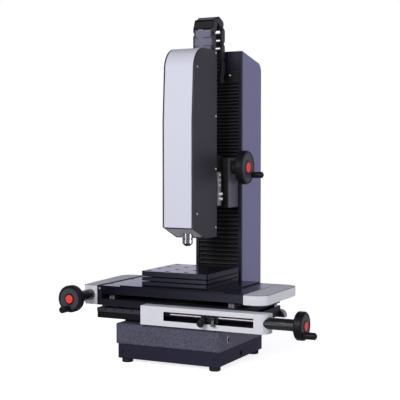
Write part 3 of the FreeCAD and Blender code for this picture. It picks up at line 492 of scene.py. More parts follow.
machined_grain = machined_grain_group()
black_screw = finish("black_screw", machined_grain, (0.03, 0.03, 0.032), metallic=1.0,
                     Lines=(400.0, 400.0, 400.0), Roughness=0.35)
plinth_low, plinth_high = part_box("plinth")
plinth_screw_inset = 0.012
plinth_screw_size = (0.0030, 0.0012, 0.0014)
plinth_screw_z = (plinth_low.z + plinth_high.z) / 2
for end, wall_y, facing in (("front", plinth_low.y, -1), ("rear", plinth_high.y, 1)):
    screw_set("plinth_" + end + "_screws", "stand", black_screw,
              [(plinth_low.x + plinth_screw_inset, wall_y, plinth_screw_z),
               (plinth_high.x - plinth_screw_inset, wall_y, plinth_screw_z)], (0, facing, 0), plinth_screw_size)

# Granite slab
# A ground block of fine dark granite, the flat and steady base of the machine, with chamfered edges.
# It lies on the plinth's frame by its own weight. Steel inserts in its sides take lifting bars.


def granite_specks_group():
    """Fine-grained stone: a dark body with pale and black crystals, ground to a dull gloss."""
    group, given, result = surface_group("Granite Specks", Crystals=800.0, Pale=1.9, Dark=0.45, Roughness=0.45)
    crystals = noise(group, given["Crystals"], 2.0, 0.7)
    clusters = noise(group, 330.0, 3.0, 0.6)
    both = calc("ADD", calc("MULTIPLY", crystals, 0.62), calc("MULTIPLY", clusters, 0.38))
    sharp = made(group, "ShaderNodeMapRange", "Result", {"Value": both, "From Min": 0.38, "From Max": 0.62})
    level = spread(sharp, given["Dark"], given["Pale"])
    wire(result, {"Color": shade(given["Color"], level),
                  "Roughness": calc("SUBTRACT", given["Roughness"], calc("MULTIPLY", crystals, 0.15)),
                  "Normal": bump(crystals, 0.06, 0.0002)})
    return group


granite_stone = finish("granite_stone", granite_specks_group(), (0.068, 0.066, 0.097), specular=0.25, Crystals=800.0)
broken_edges("granite_slab", "granite_block", granite_stone, 0.0008)
turned_steel = finish("turned_steel", machined_grain, (0.72, 0.71, 0.72), metallic=0.6,
                      Lines=(900.0, 900.0, 900.0), Roughness=0.4)
# Near-black rubber for the lip plugs and the panel seal, also used as painted shade on the walls of bores and holes.
black_rubber_and_bore_shade = finish("black_rubber_and_bore_shade", moulded_grain, (0.006, 0.006, 0.007), specular=0.1,
                    Grain=500.0, Depth=0.4, Rubbing=0.2, Roughness=0.7)
insert_low, insert_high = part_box("granite_inserts")
insert_radius = (insert_high.z - insert_low.z) / 2
insert_z = insert_high.z - insert_radius
insert_y = insert_high.y - insert_radius
bore_radius = 0.0050
lining_reach = 0.0012


def lined(piece, inner_material, is_inside):
    """Gives the inward faces of a shell their own finish; is_inside tests a point just off the face."""
    mesh = piece.data
    mesh.materials.append(inner_material)
    for face in mesh.polygons:
        if is_inside(face.center + face.normal * lining_reach):
            face.material_index = 1


# The walls of the inserts' bores get the near-black: painted shade inside the steel bores.
lined(broken_edges("granite_inserts", "lifting_inserts", turned_steel, 0.0012, 3), black_rubber_and_bore_shade,
      lambda point: math.hypot(abs(point.y) - insert_y, point.z - insert_z) < bore_radius)

# Stage bed
# A milled aluminium bed, anodised black, that overhangs the granite on both sides.
# The lip along its front has a row of plugged screw holes, and the two ground X rails lie on top.


def painted_light_under_limit(material, axis, limit, factor):
    """Paints light or shade into a material: paler or darker where the Object coordinate on one axis is under a
    limit.
    """
    tree = material.node_tree
    along = made(tree, "ShaderNodeSeparateXYZ", axis, {"Vector": made(tree, "ShaderNodeTexCoord", "Object")})
    level = spread(calc("LESS_THAN", along, limit), 1.0, factor)
    wire(tree.nodes["Principled BSDF"], {"Base Color": shade(tree.nodes["surface"].outputs["Color"], level)})


bed_low, bed_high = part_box("stage_bed")
bed_lit_face_depth = 0.002
bed_front_painted_light = 7.0
bed_finish = finish("bed_finish", machined_grain, (0.006, 0.006, 0.0075), specular=0.15,
                    Lines=(60.0, 1800.0, 1800.0), Contrast=0.2, Groove=0.05, Roughness=0.36)
# The bed's front face is painted seven times paler than its other faces: painted light, where the key light falls on
# it.
painted_light_under_limit(bed_finish, "Y", bed_low.y + bed_lit_face_depth / 2, bed_front_painted_light)
broken_edges("stage_bed", "milled_bed", bed_finish, 0.0004)
plug_pitch = 0.025
plug_start = 0.0245
plug_drop = 0.0032
plug_size = (0.0023, 0.0005, 0.0010)
plug_count = math.ceil((bed_high.x - bed_low.x - plug_start - plug_pitch / 2) / plug_pitch)
screw_set("bed_lip_plugs", "stand", black_rubber_and_bore_shade,
          [(bed_low.x + plug_start + plug_pitch * index, bed_low.y, bed_high.z - plug_drop)
           for index in range(plug_count)], (0, -1, 0), plug_size)
ground_steel = finish("ground_steel", machined_grain, (0.55, 0.55, 0.57), metallic=1.0,
                      Lines=(20.0, 2600.0, 2600.0), Contrast=0.1, Roughness=0.22)
broken_edges("x_rails", "x_rail_pair", ground_steel, 0.0003)

# Front cover
# A folded sheet cover, sprayed satin white outside, screwed to the front of the bed; its inward faces are painted
# near-black as painted shade.
# Its right end is rolled round and has a near-black plate behind it, put there as painted shade, and a long slot
# shows the scale rod.
white_coat = {"colour": (0.68, 0.685, 0.745), "specular": 0.2, "Peel": 1200.0, "Peel_Depth": 0.05,
              "Unevenness": 0.025, "Roughness": 0.5}
satin_white = finish("satin_white", powder_coat, **white_coat)
# Near-black paint for the cover's inward faces: painted shade inside the shell.
inside_painted_shade = finish("inside_painted_shade", powder_coat, (0.006, 0.006, 0.008), specular=0.2,
                      Peel=900.0, Peel_Depth=0.2, Roughness=0.75)
front_low, front_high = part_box("front_cover")
front_end_radius = 0.020
front_wrap = 0.002


def inside_front_cover(point):
    if not front_low.z < point.z < front_high.z:
        return False
    past_roll_x = point.x - (front_high.x - front_end_radius)
    past_roll_y = point.y - (front_low.y + front_end_radius)
    if past_roll_x > 0 and past_roll_y < 0:
        return math.hypot(past_roll_x, past_roll_y) < front_end_radius
    return front_low.x < point.x < front_high.x and front_low.y < point.y < front_high.y + front_wrap


def boxed(name, material, low, high):
    """A small block with broken edges between two corners."""
    middle = (low + high) / 2
    half = (high - low) / 2
    form = bmesh.new()
    bmesh.ops.create_cube(form, size=2.0, matrix=Matrix.Translation(middle) @ Matrix.Diagonal(half).to_4x4())
    bmesh.ops.bevel(form, geom=form.edges[:], offset=min(half) * 0.25, segments=2, affect="EDGES")
    mesh = bpy.data.meshes.new(name)
    form.to_mesh(mesh)
    form.free()
    mesh.materials.append(material)
    return placed(name, mesh)


front_shell = broken_edges("front_cover", "front_cover_shell", satin_white, 0.0007, 3)
# The cover's inward faces get the near-black: painted shade.
lined(front_shell, inside_painted_shade, inside_front_cover)
# A near-black plate in the gap behind the rolled end stands in for the shade there: painted shade.
shade_plate_gap = 0.0002
shade_plate_thickness = 0.0014
shade_plate_inset = 0.004
shade_plate_rise = 0.003
shade_plate_low = Vector((bed_high.x + shade_plate_gap, bed_low.y + shade_plate_gap, front_low.z + shade_plate_rise))
shade_plate_high = Vector((front_high.x - shade_plate_inset, shade_plate_low.y + shade_plate_thickness, bed_high.z))
carried(boxed("cover_end_shade_plate", inside_painted_shade, shade_plate_low, shade_plate_high), "stand")

# X drive
# The black tube that carries the X handwheel's shaft, the bright scale rod of the slide clamp,
# and the blackened lead screw with its trapezoidal thread.
tube_black = finish("tube_black", machined_grain, (0.016, 0.015, 0.017), specular=0.8,
                    Lines=(60.0, 900.0, 900.0), Contrast=0.15, Roughness=0.2)
broken_edges("x_drive_tube", "x_tube", tube_black, 0.0006)
rod_steel = finish("rod_steel", machined_grain, (0.92, 0.8, 0.84), metallic=0.3,
                   Lines=(30.0, 1500.0, 1500.0), Roughness=0.4)
face_reach = 0.0003
slot_margin = 0.010
slot_left = min(corner.co.x for corner in front_shell.data.vertices
                if corner.co.y < front_low.y + face_reach and corner.co.x > front_low.x + slot_margin)
# The rod is painted almost black from its left end to 15 mm past the slot's left edge: painted shade inside the
# cover.
rod_shaded_length = 0.0150
rod_end_painted_shade = 0.01
painted_light_under_limit(rod_steel, "X", slot_left + rod_shaded_length, rod_end_painted_shade)
paint_node("scale_rod", rod_steel)


def thread_tree():
    """A bar along X with a trapezoidal thread: pitch, depth and bar radius are inputs."""
    tree, given, result = shape_group("Trapezoidal Thread", Length=0.3, Radius=0.004, Pitch=0.003, Depth=0.0008,
                                      Rings=800, Start=(0.0, 0.0, 0.0))
    bar = made(tree, "GeometryNodeMeshCylinder", "Mesh",
               {"Vertices": 16, "Side Segments": given["Rings"], "Radius": given["Radius"],
                "Depth": given["Length"]})
    place = added(tree, "ShaderNodeSeparateXYZ",
                  {"Vector": made(tree, "GeometryNodeInputPosition", "Position")}).outputs
    turn = calc("DIVIDE", calc("ARCTAN2", place["Y"], place["X"]), math.tau)
    pitches = calc("SUBTRACT", calc("DIVIDE", place["Z"], given["Pitch"]), turn)
    phase = calc("FRACT", calc("ADD", pitches, 1000.0))
    ridge = calc("ABSOLUTE", calc("SUBTRACT", phase, 0.5))
    slope = calc("MULTIPLY", calc("SUBTRACT", ridge, 0.17), 8.0)
    flank = calc("MINIMUM", calc("MAXIMUM", slope, 0.0), 1.0)
    shrink = calc("SUBTRACT", 1.0,
                  calc("MULTIPLY", flank, calc("DIVIDE", given["Depth"], given["Radius"])))
    lay = made(tree, "ShaderNodeCombineXYZ", "Vector",
               {"X": calc("ADD", place["Z"], calc("MULTIPLY", given["Length"], 0.5)),
                "Y": calc("MULTIPLY", place["X"], shrink), "Z": calc("MULTIPLY", place["Y"], shrink)})
    moved = made(tree, "ShaderNodeVectorMath", "Vector", {0: lay, 1: given["Start"]}, operation="ADD")
    threaded = made(tree, "GeometryNodeSetPosition", "Geometry", {"Geometry": bar, "Position": moved})
    smooth = made(tree, "GeometryNodeSetShadeSmooth", "Geometry", {"Geometry": threaded})
    hand_on(smooth, given, result)
    return tree


def one_point(name):
    """A point that a geometry tree makes a piece on."""
    return point_rows(name, [(0.0, 0.0, 0.0)], [(0.0, 0.0, 1.0)])


thread_pitch = 0.003
thread_depth = 0.0008
thread_rings = 900
screw_low, screw_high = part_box("x_lead_screw")
screw_blue = finish("screw_blue", machined_grain, (0.04, 0.038, 0.085), metallic=0.9,
                    Lines=(400.0, 900.0, 900.0), Roughness=0.34)
stands_for(settled(shaped_by(one_point("lead_screw"), thread_tree(), {
    "Length": screw_high.x - screw_low.x, "Radius": (screw_high.z - screw_low.z) / 2, "Pitch": thread_pitch,
    "Depth": thread_depth, "Rings": thread_rings, "Finish": screw_blue,
    "Start": (screw_low.x, *((screw_low + screw_high) / 2).yz)})), "x_lead_screw")

# Rear cover of the bed
# A shell behind the bed, shaped like the front cover, with its right end rounded off, painted grey-lavender, darker
# than the white front cover: painted shade, for the shade that it lies in.
# It is screwed to the bed and closes the rear X rail from dust.
# A white darkened to grey-lavender: painted shade.
rear_cover_painted_shade = finish("rear_cover_painted_shade", powder_coat, (0.30, 0.30, 0.41), specular=0.3,
                   Peel=1200.0, Peel_Depth=0.05, Unevenness=0.04, Roughness=0.45)
broken_edges("bed_rear_cover", "rear_cover_shell", rear_cover_painted_shade, 0.0005)

# Cross slide
# A black anodised plate on the X rails. Its left flange stands up beside the table and carries the end cap.
# Two ground rails lie across it, with stop plates screwed on at both ends.
slide_black = finish("slide_black", machined_grain, (0.016, 0.0155, 0.024), specular=0.03,
                     Lines=(60.0, 1800.0, 1800.0), Contrast=0.2, Groove=0.05, Roughness=0.6)
broken_edges("cross_slide_plate", "slide_plate", slide_black, 0.0004)
guide_steel = finish("guide_steel", machined_grain, (0.10, 0.098, 0.10), metallic=0.8,
                     Lines=(2600.0, 20.0, 2600.0), Contrast=0.15, Roughness=0.3)
broken_edges("y_rails", "y_rail_pair", guide_steel, 0.0003)
stop_screw = finish("stop_screw", machined_grain, (0.26, 0.26, 0.28), metallic=0.6,
                    Lines=(500.0, 500.0, 500.0), Roughness=0.45)
rails_low, rails_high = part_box("y_rails")
rail_stop_width = 0.015
stop_screw_shift = 0.0038
stop_screw_size = (0.0027, 0.0016, 0.0013)
stop_screw_z = (rails_low.z + rails_high.z) / 2
stop_screw_x = [centre + side * stop_screw_shift for centre in (rails_low.x + rail_stop_width / 2,
                                                                rails_high.x - rail_stop_width / 2)
                for side in (-1, 1)]
for end, stop_y, facing in (("front", rails_low.y, -1), ("rear", rails_high.y, 1)):
    screw_set("rail_stop_screws_" + end, "cross_slide", stop_screw,
              [(x, stop_y, stop_screw_z) for x in stop_screw_x], (0, facing, 0), stop_screw_size)
bright_screw = finish("bright_screw", machined_grain, (0.8, 0.8, 0.82), metallic=0.45,
                      Lines=(500.0, 500.0, 500.0), Roughness=0.4)
slide_low, slide_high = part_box("cross_slide_plate")
table_low, table_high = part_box("table_plate")
flange_screw_drop = 0.007
flange_screw_size = (0.0022, 0.0012, 0.0011)
screw_set("flange_screws", "cross_slide", bright_screw,
          [((slide_low.x + table_low.x) / 2, slide_low.y, slide_high.z - flange_screw_drop)], (0, -1, 0),
          flange_screw_size)

# Left end cap and Y drive
# A cast end cap, sprayed satin white, bolted to the flange of the cross slide.
# The black tube in its front face carries the shaft of the Y handwheel.
cap_round = 0.0009
cap_edge_painted_shade = 0.12
cap_edge_shade_ends = (0.12, 0.45, 0.85, 0.97)


def painted_edge_shade(material, factor, ends):
    """Painted shade: a thin darker line where the top of a cap turns over into its sides; ends are heights of the
    normal.
    """
    tree = material.node_tree
    lean = made(tree, "ShaderNodeSeparateXYZ", "Z", {"Vector": made(tree, "ShaderNodeNewGeometry", "Normal")})
    ramp = added(tree, "ShaderNodeValToRGB", {"Fac": lean})
    steps = ramp.color_ramp.elements
    steps[0].position, steps[1].position = ends[0], ends[3]
    steps[0].color = steps[1].color = (1.0, 1.0, 1.0, 1.0)
    for position in ends[1:3]:
        steps.new(position).color = (factor, factor, factor, 1.0)
    painted = made(tree, "ShaderNodeVectorMath", "Vector",
                   {0: tree.nodes["surface"].outputs["Color"], 1: ramp.outputs["Color"]}, operation="MULTIPLY")
    wire(tree.nodes["Principled BSDF"], {"Base Color": painted})


cap_white = finish("cap_white", powder_coat, **white_coat)
# The caps' rounded top edges are painted darker: painted shade.
painted_edge_shade(cap_white, cap_edge_painted_shade, cap_edge_shade_ends)
broken_edges("left_end_cap", "left_cap", cap_white, cap_round)
broken_edges("y_drive_tube", "y_tube", tube_black, 0.0006)

# Slide clamp
# A small black block that runs on the scale rod and the lead screw, with a knurled knob that locks it
# and a hooked steel lever that lets the nut go, so that the slide can be pushed by hand.
clamp_black = finish("clamp_black", machined_grain, (0.012, 0.012, 0.013), specular=0.4,
                     Lines=(300.0, 900.0, 900.0), Roughness=0.4)
lever_steel = finish("lever_steel", machined_grain, (0.20, 0.195, 0.18), metallic=1.0,
                     Lines=(300.0, 300.0, 900.0), Roughness=0.34)
broken_edges("slide_clamp", "clamp_block", clamp_black, 0.0003)
broken_edges("clamp_knob", "knurled_knob", clamp_black, 0.0002)
broken_edges("release_lever", "hooked_lever", lever_steel, 0.0004)

# Table
# The black anodised table plate with the thin adapter plate on it, carried by four bearing cars on the Y rails.
# Its right end has a white cap with large round corners.
table_black = finish("table_black", machined_grain, (0.006, 0.006, 0.013), specular=0.2,
                     Lines=(40.0, 2200.0, 2200.0), Contrast=0.5, Groove=0.03, Roughness=0.2)
broken_edges("table_plate", "table_slab", table_black, 0.0005)
broken_edges("adapter_plate", "adapter_sheet", table_black, 0.0004)
broken_edges("right_end_cap", "right_cap", cap_white, cap_round)
broken_edges("y_bearing_cars", "y_cars", clamp_black, 0.0003)
table_screw_y = (-0.075, 0.026)
table_screw_inset = 0.005
table_screw_size = (0.0024, 0.0006, 0.0012)
screw_set("table_end_screws", "table", black_screw,
          [(table_low.x + table_screw_inset, y, table_high.z) for y in table_screw_y], (0, 0, 1),
          table_screw_size)

# Fine stage
# Three black plates, one on another, with thin rails between them: the base, a middle plate that moves in X
# and the sample plate, which moves in Y and has a grid of counterbored holes.
stage_black = finish("stage_black", machined_grain, (0.007, 0.007, 0.014), specular=0.35,
                     Lines=(40.0, 2200.0, 2200.0), Contrast=0.25, Groove=0.03, Roughness=0.2)
broken_edges("fine_stage_base", "fine_base", stage_black, 0.0006)
broken_edges("fine_stage_middle", "fine_middle", stage_black, 0.0006)
plate_low, plate_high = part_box("sample_plate")
plate_rim = 0.005
# The walls of the sample plate's holes get the near-black: painted shade in the holes.
lined(broken_edges("sample_plate", "sample_table", stage_black, 0.0005), black_rubber_and_bore_shade,
      lambda point: plate_low.x + plate_rim < point.x < plate_high.x - plate_rim
      and plate_low.y + plate_rim < point.y < plate_high.y - plate_rim and plate_low.z < point.z < plate_high.z)

# Handwheels
# Moulded black wheels with a red cap over the screw in the middle, each with a handle that turns on a steel pin.
# The ring in the recess of each face is painted paler than the wheel as painted light, and the grips are turned with
# a groove near the end.
wheel_black = finish("wheel_black", moulded_grain, (0.0085, 0.0082, 0.0105), specular=0.2,
                     Grain=1500.0, Depth=0.12, Rubbing=0.3, Roughness=0.42)
# The wheels' moulding made paler and lavender for their faces: painted light.
wheel_face_painted_light = finish("wheel_face_painted_light", moulded_grain, (0.05, 0.048, 0.06), specular=0.3,
                    Grain=1500.0, Depth=0.12, Rubbing=0.2, Roughness=0.42)
cap_red = finish("cap_red", moulded_grain, (0.85, 0.048, 0.045), specular=0.45,
                 Grain=1200.0, Depth=0.08, Rubbing=0.1, Roughness=0.4)
face_radius_of = {"x": 0.03225, "y": 0.03225, "z": 0.043}
face_sink = 0.0006
recess_depth = 0.0029
recess_slope = 0.0014
ring_gap = 0.0003
ring_sides = 72
rim_width = 0.0065
hub_margin = 0.0035
cap_rise = 0.0012
grip_bore = 0.0033
turned_angle = math.radians(32.0)


def turned_mesh(name, material, origin, direction, profile, rounds=48):
    """A turned body about a line: profile is (radius, along) corners, closed where the radius is nought."""
    form = bmesh.new()
    turn = Vector((0, 0, 1)).rotation_difference(Vector(direction).normalized())
    to_place = Matrix.Translation(Vector(origin)) @ turn.to_matrix().to_4x4()
    rings = []
    for radius, along in profile:
        corners = [(radius * math.cos(math.tau * i / rounds), radius * math.sin(math.tau * i / rounds), along)
                   for i in range(rounds if radius else 1)]
        rings.append([form.verts.new(to_place @ Vector(corner)) for corner in corners])
    is_ring = profile[0][0] and profile[-1][0]
    for first, second in zip(rings, rings[1:] + rings[:1] if is_ring else rings[1:]):
        for i in range(rounds):
            j = (i + 1) % rounds
            corners = [first[i % len(first)], first[j % len(first)], second[j % len(second)], second[i % len(second)]]
            corners = [vert for k, vert in enumerate(corners) if vert not in corners[:k]]
            if len(corners) > 2:
                form.faces.new(corners)
    bmesh.ops.recalc_face_normals(form, faces=form.faces)
    for face in form.faces:
        face.smooth = True
    mesh = bpy.data.meshes.new(name)
    form.to_mesh(mesh)
    form.free()
    mesh.materials.append(material)
    mesh.set_sharp_from_angle(angle=turned_angle)
    return placed(name, mesh)


def half_along(half, direction):
    """Half the size of a box along one axis."""
    return half.dot(Vector([abs(part) for part in direction]))


for axis, outward in (("x", Vector((1, 0, 0))), ("y", Vector((0, -1, 0))), ("z", Vector((1, 0, 0)))):
    broken_edges(axis + "_handwheel", axis + "_wheel_body", wheel_black, 0.0005)
    paint_node(axis + "_wheel_cap", cap_red)
    cap_low, cap_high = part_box(axis + "_wheel_cap")
    cap_half = (cap_high - cap_low) / 2
    face_centre = (cap_low + cap_high) / 2 + outward * (half_along(cap_half, outward) - cap_rise)
    inner = cap_half.z + hub_margin
    outer = face_radius_of[axis] - rim_width
    ring = turned_mesh(axis + "_wheel_face", wheel_face_painted_light, face_centre, outward,
                       [(inner + ring_gap, -face_sink), (outer - ring_gap, -face_sink),
                        (outer - recess_slope, -recess_depth), (inner + recess_slope, -recess_depth)], ring_sides)
    carried(ring, axis + "_wheel")
    grip_low, grip_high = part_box(axis + "_handle")
    grip_half = (grip_high - grip_low) / 2
    length = 2 * half_along(grip_half, outward)
    grip = grip_half.z
    stands_for(turned_mesh(axis + "_handle_grip", wheel_black,
                           (grip_low + grip_high) / 2 - outward * length / 2, outward,
                           [(grip_bore, 0), (grip - 0.0012, 0), (grip - 0.0002, 0.0010), (grip, 0.0022),
                            (grip, length - 0.0062), (grip - 0.0004, length - 0.0058),
                            (grip - 0.0004, length - 0.0050), (grip, length - 0.0046), (grip, length - 0.0016),
                            (grip - 0.0005, length - 0.0005), (grip - 0.0016, length), (grip_bore, length)]),
               axis + "_handle")

# Column
# An aluminium column with a web, wrapped in a bent sheet cover with a sloped and rounded top.
# The dark frame round its front opening holds the bellows' end plates, and the Z rails and rack lie inside.
column_blue = finish("column_blue", powder_coat, (0.168, 0.165, 0.308), specular=0.45,
                     Peel=1000.0, Peel_Depth=0.06, Unevenness=0.05, Roughness=0.36)
frame_navy = finish("frame_navy", powder_coat, (0.0144, 0.013, 0.027), specular=0.25,
                    Peel=1000.0, Peel_Depth=0.08, Unevenness=0.08, Roughness=0.36)
cast_aluminium = finish("cast_aluminium", machined_grain, (0.35, 0.35, 0.37), metallic=0.9,
                        Lines=(200.0, 200.0, 1400.0), Roughness=0.4)
oiled_steel = finish("oiled_steel", machined_grain, (0.10, 0.10, 0.10), metallic=0.9,
                     Lines=(900.0, 900.0, 200.0), Roughness=0.35)
end_plate_black = finish("end_plate_black", machined_grain, (0.008, 0.008, 0.009), specular=0.35,
                         Lines=(60.0, 1200.0, 1200.0), Roughness=0.45)
broken_edges("column_body", "column_casting", cast_aluminium, 0.0008)
broken_edges("column_cover", "column_shell", column_blue, 0.0007, 3)
broken_edges("column_front_frame", "column_frame", frame_navy, 0.0008)
broken_edges("bellows_end_plates", "end_plates", end_plate_black, 0.0005)
broken_edges("z_rails", "z_rail_pair", ground_steel, 0.0003)
broken_edges("z_rack", "toothed_rack", oiled_steel, 0.0001)
frame_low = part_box("column_front_frame")[0]
plates_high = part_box("bellows_end_plates")[1]
plate_screw_x = 0.033
plate_screw_drop = 0.014
plate_screw_size = (0.0027, 0.0014, 0.0013)
screw_set("end_plate_screws", "stand", bright_screw,
          [(side * plate_screw_x, frame_low.y, plates_high.z - plate_screw_drop) for side in (-1, 1)],
          (0, -1, 0), plate_screw_size)

# Bellows
# Two pleated black curtains that close the column above and below the carriage.
# Each is one sheet of coated cloth, folded forwards and back, glued to its end plate and to the carriage.
bellows_cloth = finish("bellows_cloth", moulded_grain, (0.034, 0.033, 0.036), specular=0.4,
                       Grain=1400.0, Depth=0.15, Rubbing=0.5, Roughness=0.55)
sheet_thickness = 0.0011
pleats_on_sheet = 22


def bellows_tree():
    """A pleated sheet facing forwards, with a narrow flat hem on each front fold."""
    tree, given, result = shape_group("Pleated Bellows", Width=0.1, Bottom=0.0, Top=0.2, Front=0.0, Fold_Depth=0.012,
                                      Pleats=20, Hem=0.14)
    height = calc("SUBTRACT", given["Top"], given["Bottom"])
    sheet = made(tree, "GeometryNodeMeshGrid", "Mesh",
                 {"Size X": given["Width"], "Size Y": height, "Vertices X": 5,
                  "Vertices Y": calc("ADD", calc("MULTIPLY", given["Pleats"], 16.0), 1.0)})
    place = added(tree, "ShaderNodeSeparateXYZ",
                  {"Vector": made(tree, "GeometryNodeInputPosition", "Position")}).outputs
    along = calc("ADD", calc("DIVIDE", place["Y"], height), 0.5)
    phase = calc("FRACT", calc("ADD", calc("MULTIPLY", along, given["Pleats"]), 0.5))
    away = calc("MULTIPLY", calc("ABSOLUTE", calc("SUBTRACT", phase, 0.5)), 2.0)
    past_hem = calc("MAXIMUM", calc("SUBTRACT", away, given["Hem"]), 0.0)
    back = calc("DIVIDE", past_hem, calc("SUBTRACT", 1.0, given["Hem"]))
    lay = made(tree, "ShaderNodeCombineXYZ", "Vector",
               {"X": place["X"],
                "Y": calc("ADD", given["Front"], calc("MULTIPLY", back, given["Fold Depth"])),
                "Z": calc("ADD", given["Bottom"], calc("MULTIPLY", along, height))})
    folded = made(tree, "GeometryNodeSetPosition", "Geometry", {"Geometry": sheet, "Position": lay})
    hand_on(folded, given, result)
    return tree


pleated_sheet = bellows_tree()
for name, node, far_edge, near_edge in (("upper_curtain", "upper_bellows", 1, 0),
                                        ("lower_curtain", "lower_bellows", 0, 1)):
    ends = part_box(node)
    low, high = ends
    curtain = shaped_by(one_point(name), pleated_sheet, {
        "Width": high.x - low.x, "Bottom": low.z, "Top": high.z, "Front": low.y + sheet_thickness,
        "Fold Depth": high.y - low.y - sheet_thickness, "Pleats": pleats_on_sheet, "Finish": bellows_cloth})
    wall = curtain.modifiers.new("sheet_wall", "SOLIDIFY")
    wall.thickness = sheet_thickness
    wall.offset = 0.0
    curtain = settled(curtain)
    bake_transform(curtain)
    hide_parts(node)

# Carriage
# A machined block on four bearing cars, which carries the head on a bridge and the Z drive on its right side.
# The idler gear inside it meets the rack. A pale strip with two round connectors is screwed beside the bridge.
block_black = finish("block_black", machined_grain, (0.082, 0.08, 0.102), specular=0.5,
                     Lines=(700.0, 900.0, 60.0), Contrast=0.18, Roughness=0.34)
strip_steel = finish("strip_steel", machined_grain, (0.40, 0.38, 0.37), metallic=0.85,
                     Lines=(900.0, 900.0, 120.0), Contrast=0.3, Roughness=0.4)
# The block's front face is painted at about a sixth of its colour, darker than its sides: painted shade.
block_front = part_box("carriage_block")[0].y
block_front_painted_shade = 0.16
painted_light_under_limit(block_black, "Y", block_front + face_reach, block_front_painted_shade)
broken_edges("carriage_block", "carriage_body", block_black, 0.0008)
broken_edges("z_drive_hub", "z_hub", tube_black, 0.0010, 3)
broken_edges("z_bearing_cars", "z_cars", clamp_black, 0.0004)
broken_edges("z_idler", "idler_gear", oiled_steel, 0.0001)
broken_edges("head_bridge", "bridge", end_plate_black, 0.0010)
broken_edges("connector_strip", "connector_plate", strip_steel, 0.0005)
strip_low, strip_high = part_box("connector_strip")
strip_y = (strip_low.y + strip_high.y) / 2
connector_rise = (0.0165, 0.029)
connector_sides = 24
connector_profile = [(0, 0), (0.0045, 0), (0.0045, 0.0016), (0.0040, 0.0022), (0.0036, 0.0070), (0.0033, 0.0074),
                     (0.0024, 0.0074), (0.0024, 0.0040), (0, 0.0040)]
for index, rise in enumerate(connector_rise):
    carried(turned_mesh("round_connector_%d" % index, bright_screw, (strip_high.x, strip_y, strip_low.z + rise),
                        (1, 0, 0), connector_profile, connector_sides), "carriage")
strip_screw_drops = (0.007, 0.020, 0.033)
strip_screw_size = (0.0030, 0.0016, 0.0015)
screw_set("strip_screws", "carriage", bright_screw,
          [(strip_high.x, strip_y, strip_high.z - drop) for drop in strip_screw_drops], (1, 0, 0),
          strip_screw_size)

# Measuring head
# Two dark side plates hold a white wrapped panel in front, a spine behind and a metal cover under the optics.
# Small bright screws fix the side plates, and a rubber seal closes the gap under the panel.
side_black = finish("side_black", powder_coat, (0.03, 0.0285, 0.036), specular=0.45,
                    Peel=1000.0, Peel_Depth=0.06, Unevenness=0.06, Roughness=0.38)
panel_white = finish("panel_white", powder_coat, (0.64, 0.645, 0.745), specular=0.45,
                     Peel=1200.0, Peel_Depth=0.04, Unevenness=0.02, Roughness=0.33)
cover_steel = finish("cover_steel", machined_grain, (0.8, 0.79, 0.81), metallic=0.4,
                     Lines=(50.0, 1200.0, 1200.0), Roughness=0.42)
# The cover's lowest 3.8 mm is painted nearly black: painted shade along its bottom.
cover_shaded_band = 0.0038
cover_band_painted_shade = 0.03
painted_light_under_limit(cover_steel, "Z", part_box("head_bottom_cover")[0].z + cover_shaded_band, cover_band_painted_shade)
broken_edges("head_side_plates", "side_plates", side_black, 0.0007, 3)
broken_edges("head_front_panel", "front_panel", panel_white, 0.0006, 3)
broken_edges("head_bottom_cover", "bottom_cover", cover_steel, 0.0005)
broken_edges("head_spine", "head_spine_plate", side_black, 0.0006)
panel_low, panel_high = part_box("head_front_panel")
seal_height = 0.0026
seal_depth = 0.0030
seal_gap = 0.0002
seal_half_width = (panel_high.x - panel_low.x) / 2 - 2 * seal_gap
seal_top = Vector((seal_half_width, panel_low.y + seal_gap + seal_depth, panel_low.z - seal_gap / 2))
carried(boxed("panel_seal", black_rubber_and_bore_shade, seal_top - Vector((2 * seal_half_width, seal_depth, seal_height)), seal_top),
        "carriage")
side_low, side_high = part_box("head_side_plates")
front_screw_y = -0.0525
rear_screw_y = 0.052
side_screw_size = (0.0026, 0.0010, 0.0013)
side_screws = [(front_screw_y, 0.7117), (front_screw_y, 0.3596), (rear_screw_y, 0.754), (rear_screw_y, 0.5974),
               (rear_screw_y, 0.4666), (rear_screw_y, 0.3214)]
for side, face_x, end in ((1, side_high.x, "right"), (-1, side_low.x, "left")):
    screw_set("side_plate_screws_" + end, "carriage", bright_screw,
              [(face_x, y, z) for y, z in side_screws], (side, 0, 0), side_screw_size)

# Objective, optics tube and camera
# A chromed barrel with a gripping ring and a black tapered tip, screwed into the optics tube above it.
# The tube and the camera on top of it stand inside the head.
chrome = finish("chrome", machined_grain, (0.62, 0.62, 0.64), metallic=0.9,
                Lines=(60.0, 60.0, 3000.0), Contrast=0.08, Roughness=0.2)
tip_black = finish("tip_black", machined_grain, (0.012, 0.012, 0.013), specular=0.5,
                   Lines=(60.0, 60.0, 3000.0), Roughness=0.25)
barrel_low, barrel_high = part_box("objective")
barrel_x, barrel_y, _ = (barrel_low + barrel_high) / 2
barrel_radius = (barrel_high.x - barrel_low.x) / 2
barrel_sides = 72
tip_height = 0.004
barrel_length = barrel_high.z - barrel_low.z - tip_height
ridge_count = 5
ridge_start = 0.0115
ridge_pitch = 0.001
ridge_depth = 0.0006
barrel_profile = [(0, 0), (barrel_radius * 0.79, 0), (barrel_radius - 0.0005, 0.0022), (barrel_radius, 0.0029),
                  (barrel_radius, 0.0112)]
for start in (ridge_start + index * ridge_pitch for index in range(ridge_count)):
    barrel_profile += [(barrel_radius - ridge_depth, start), (barrel_radius, start + 0.3 * ridge_pitch),
                       (barrel_radius, start + 0.7 * ridge_pitch), (barrel_radius - ridge_depth, start + ridge_pitch)]
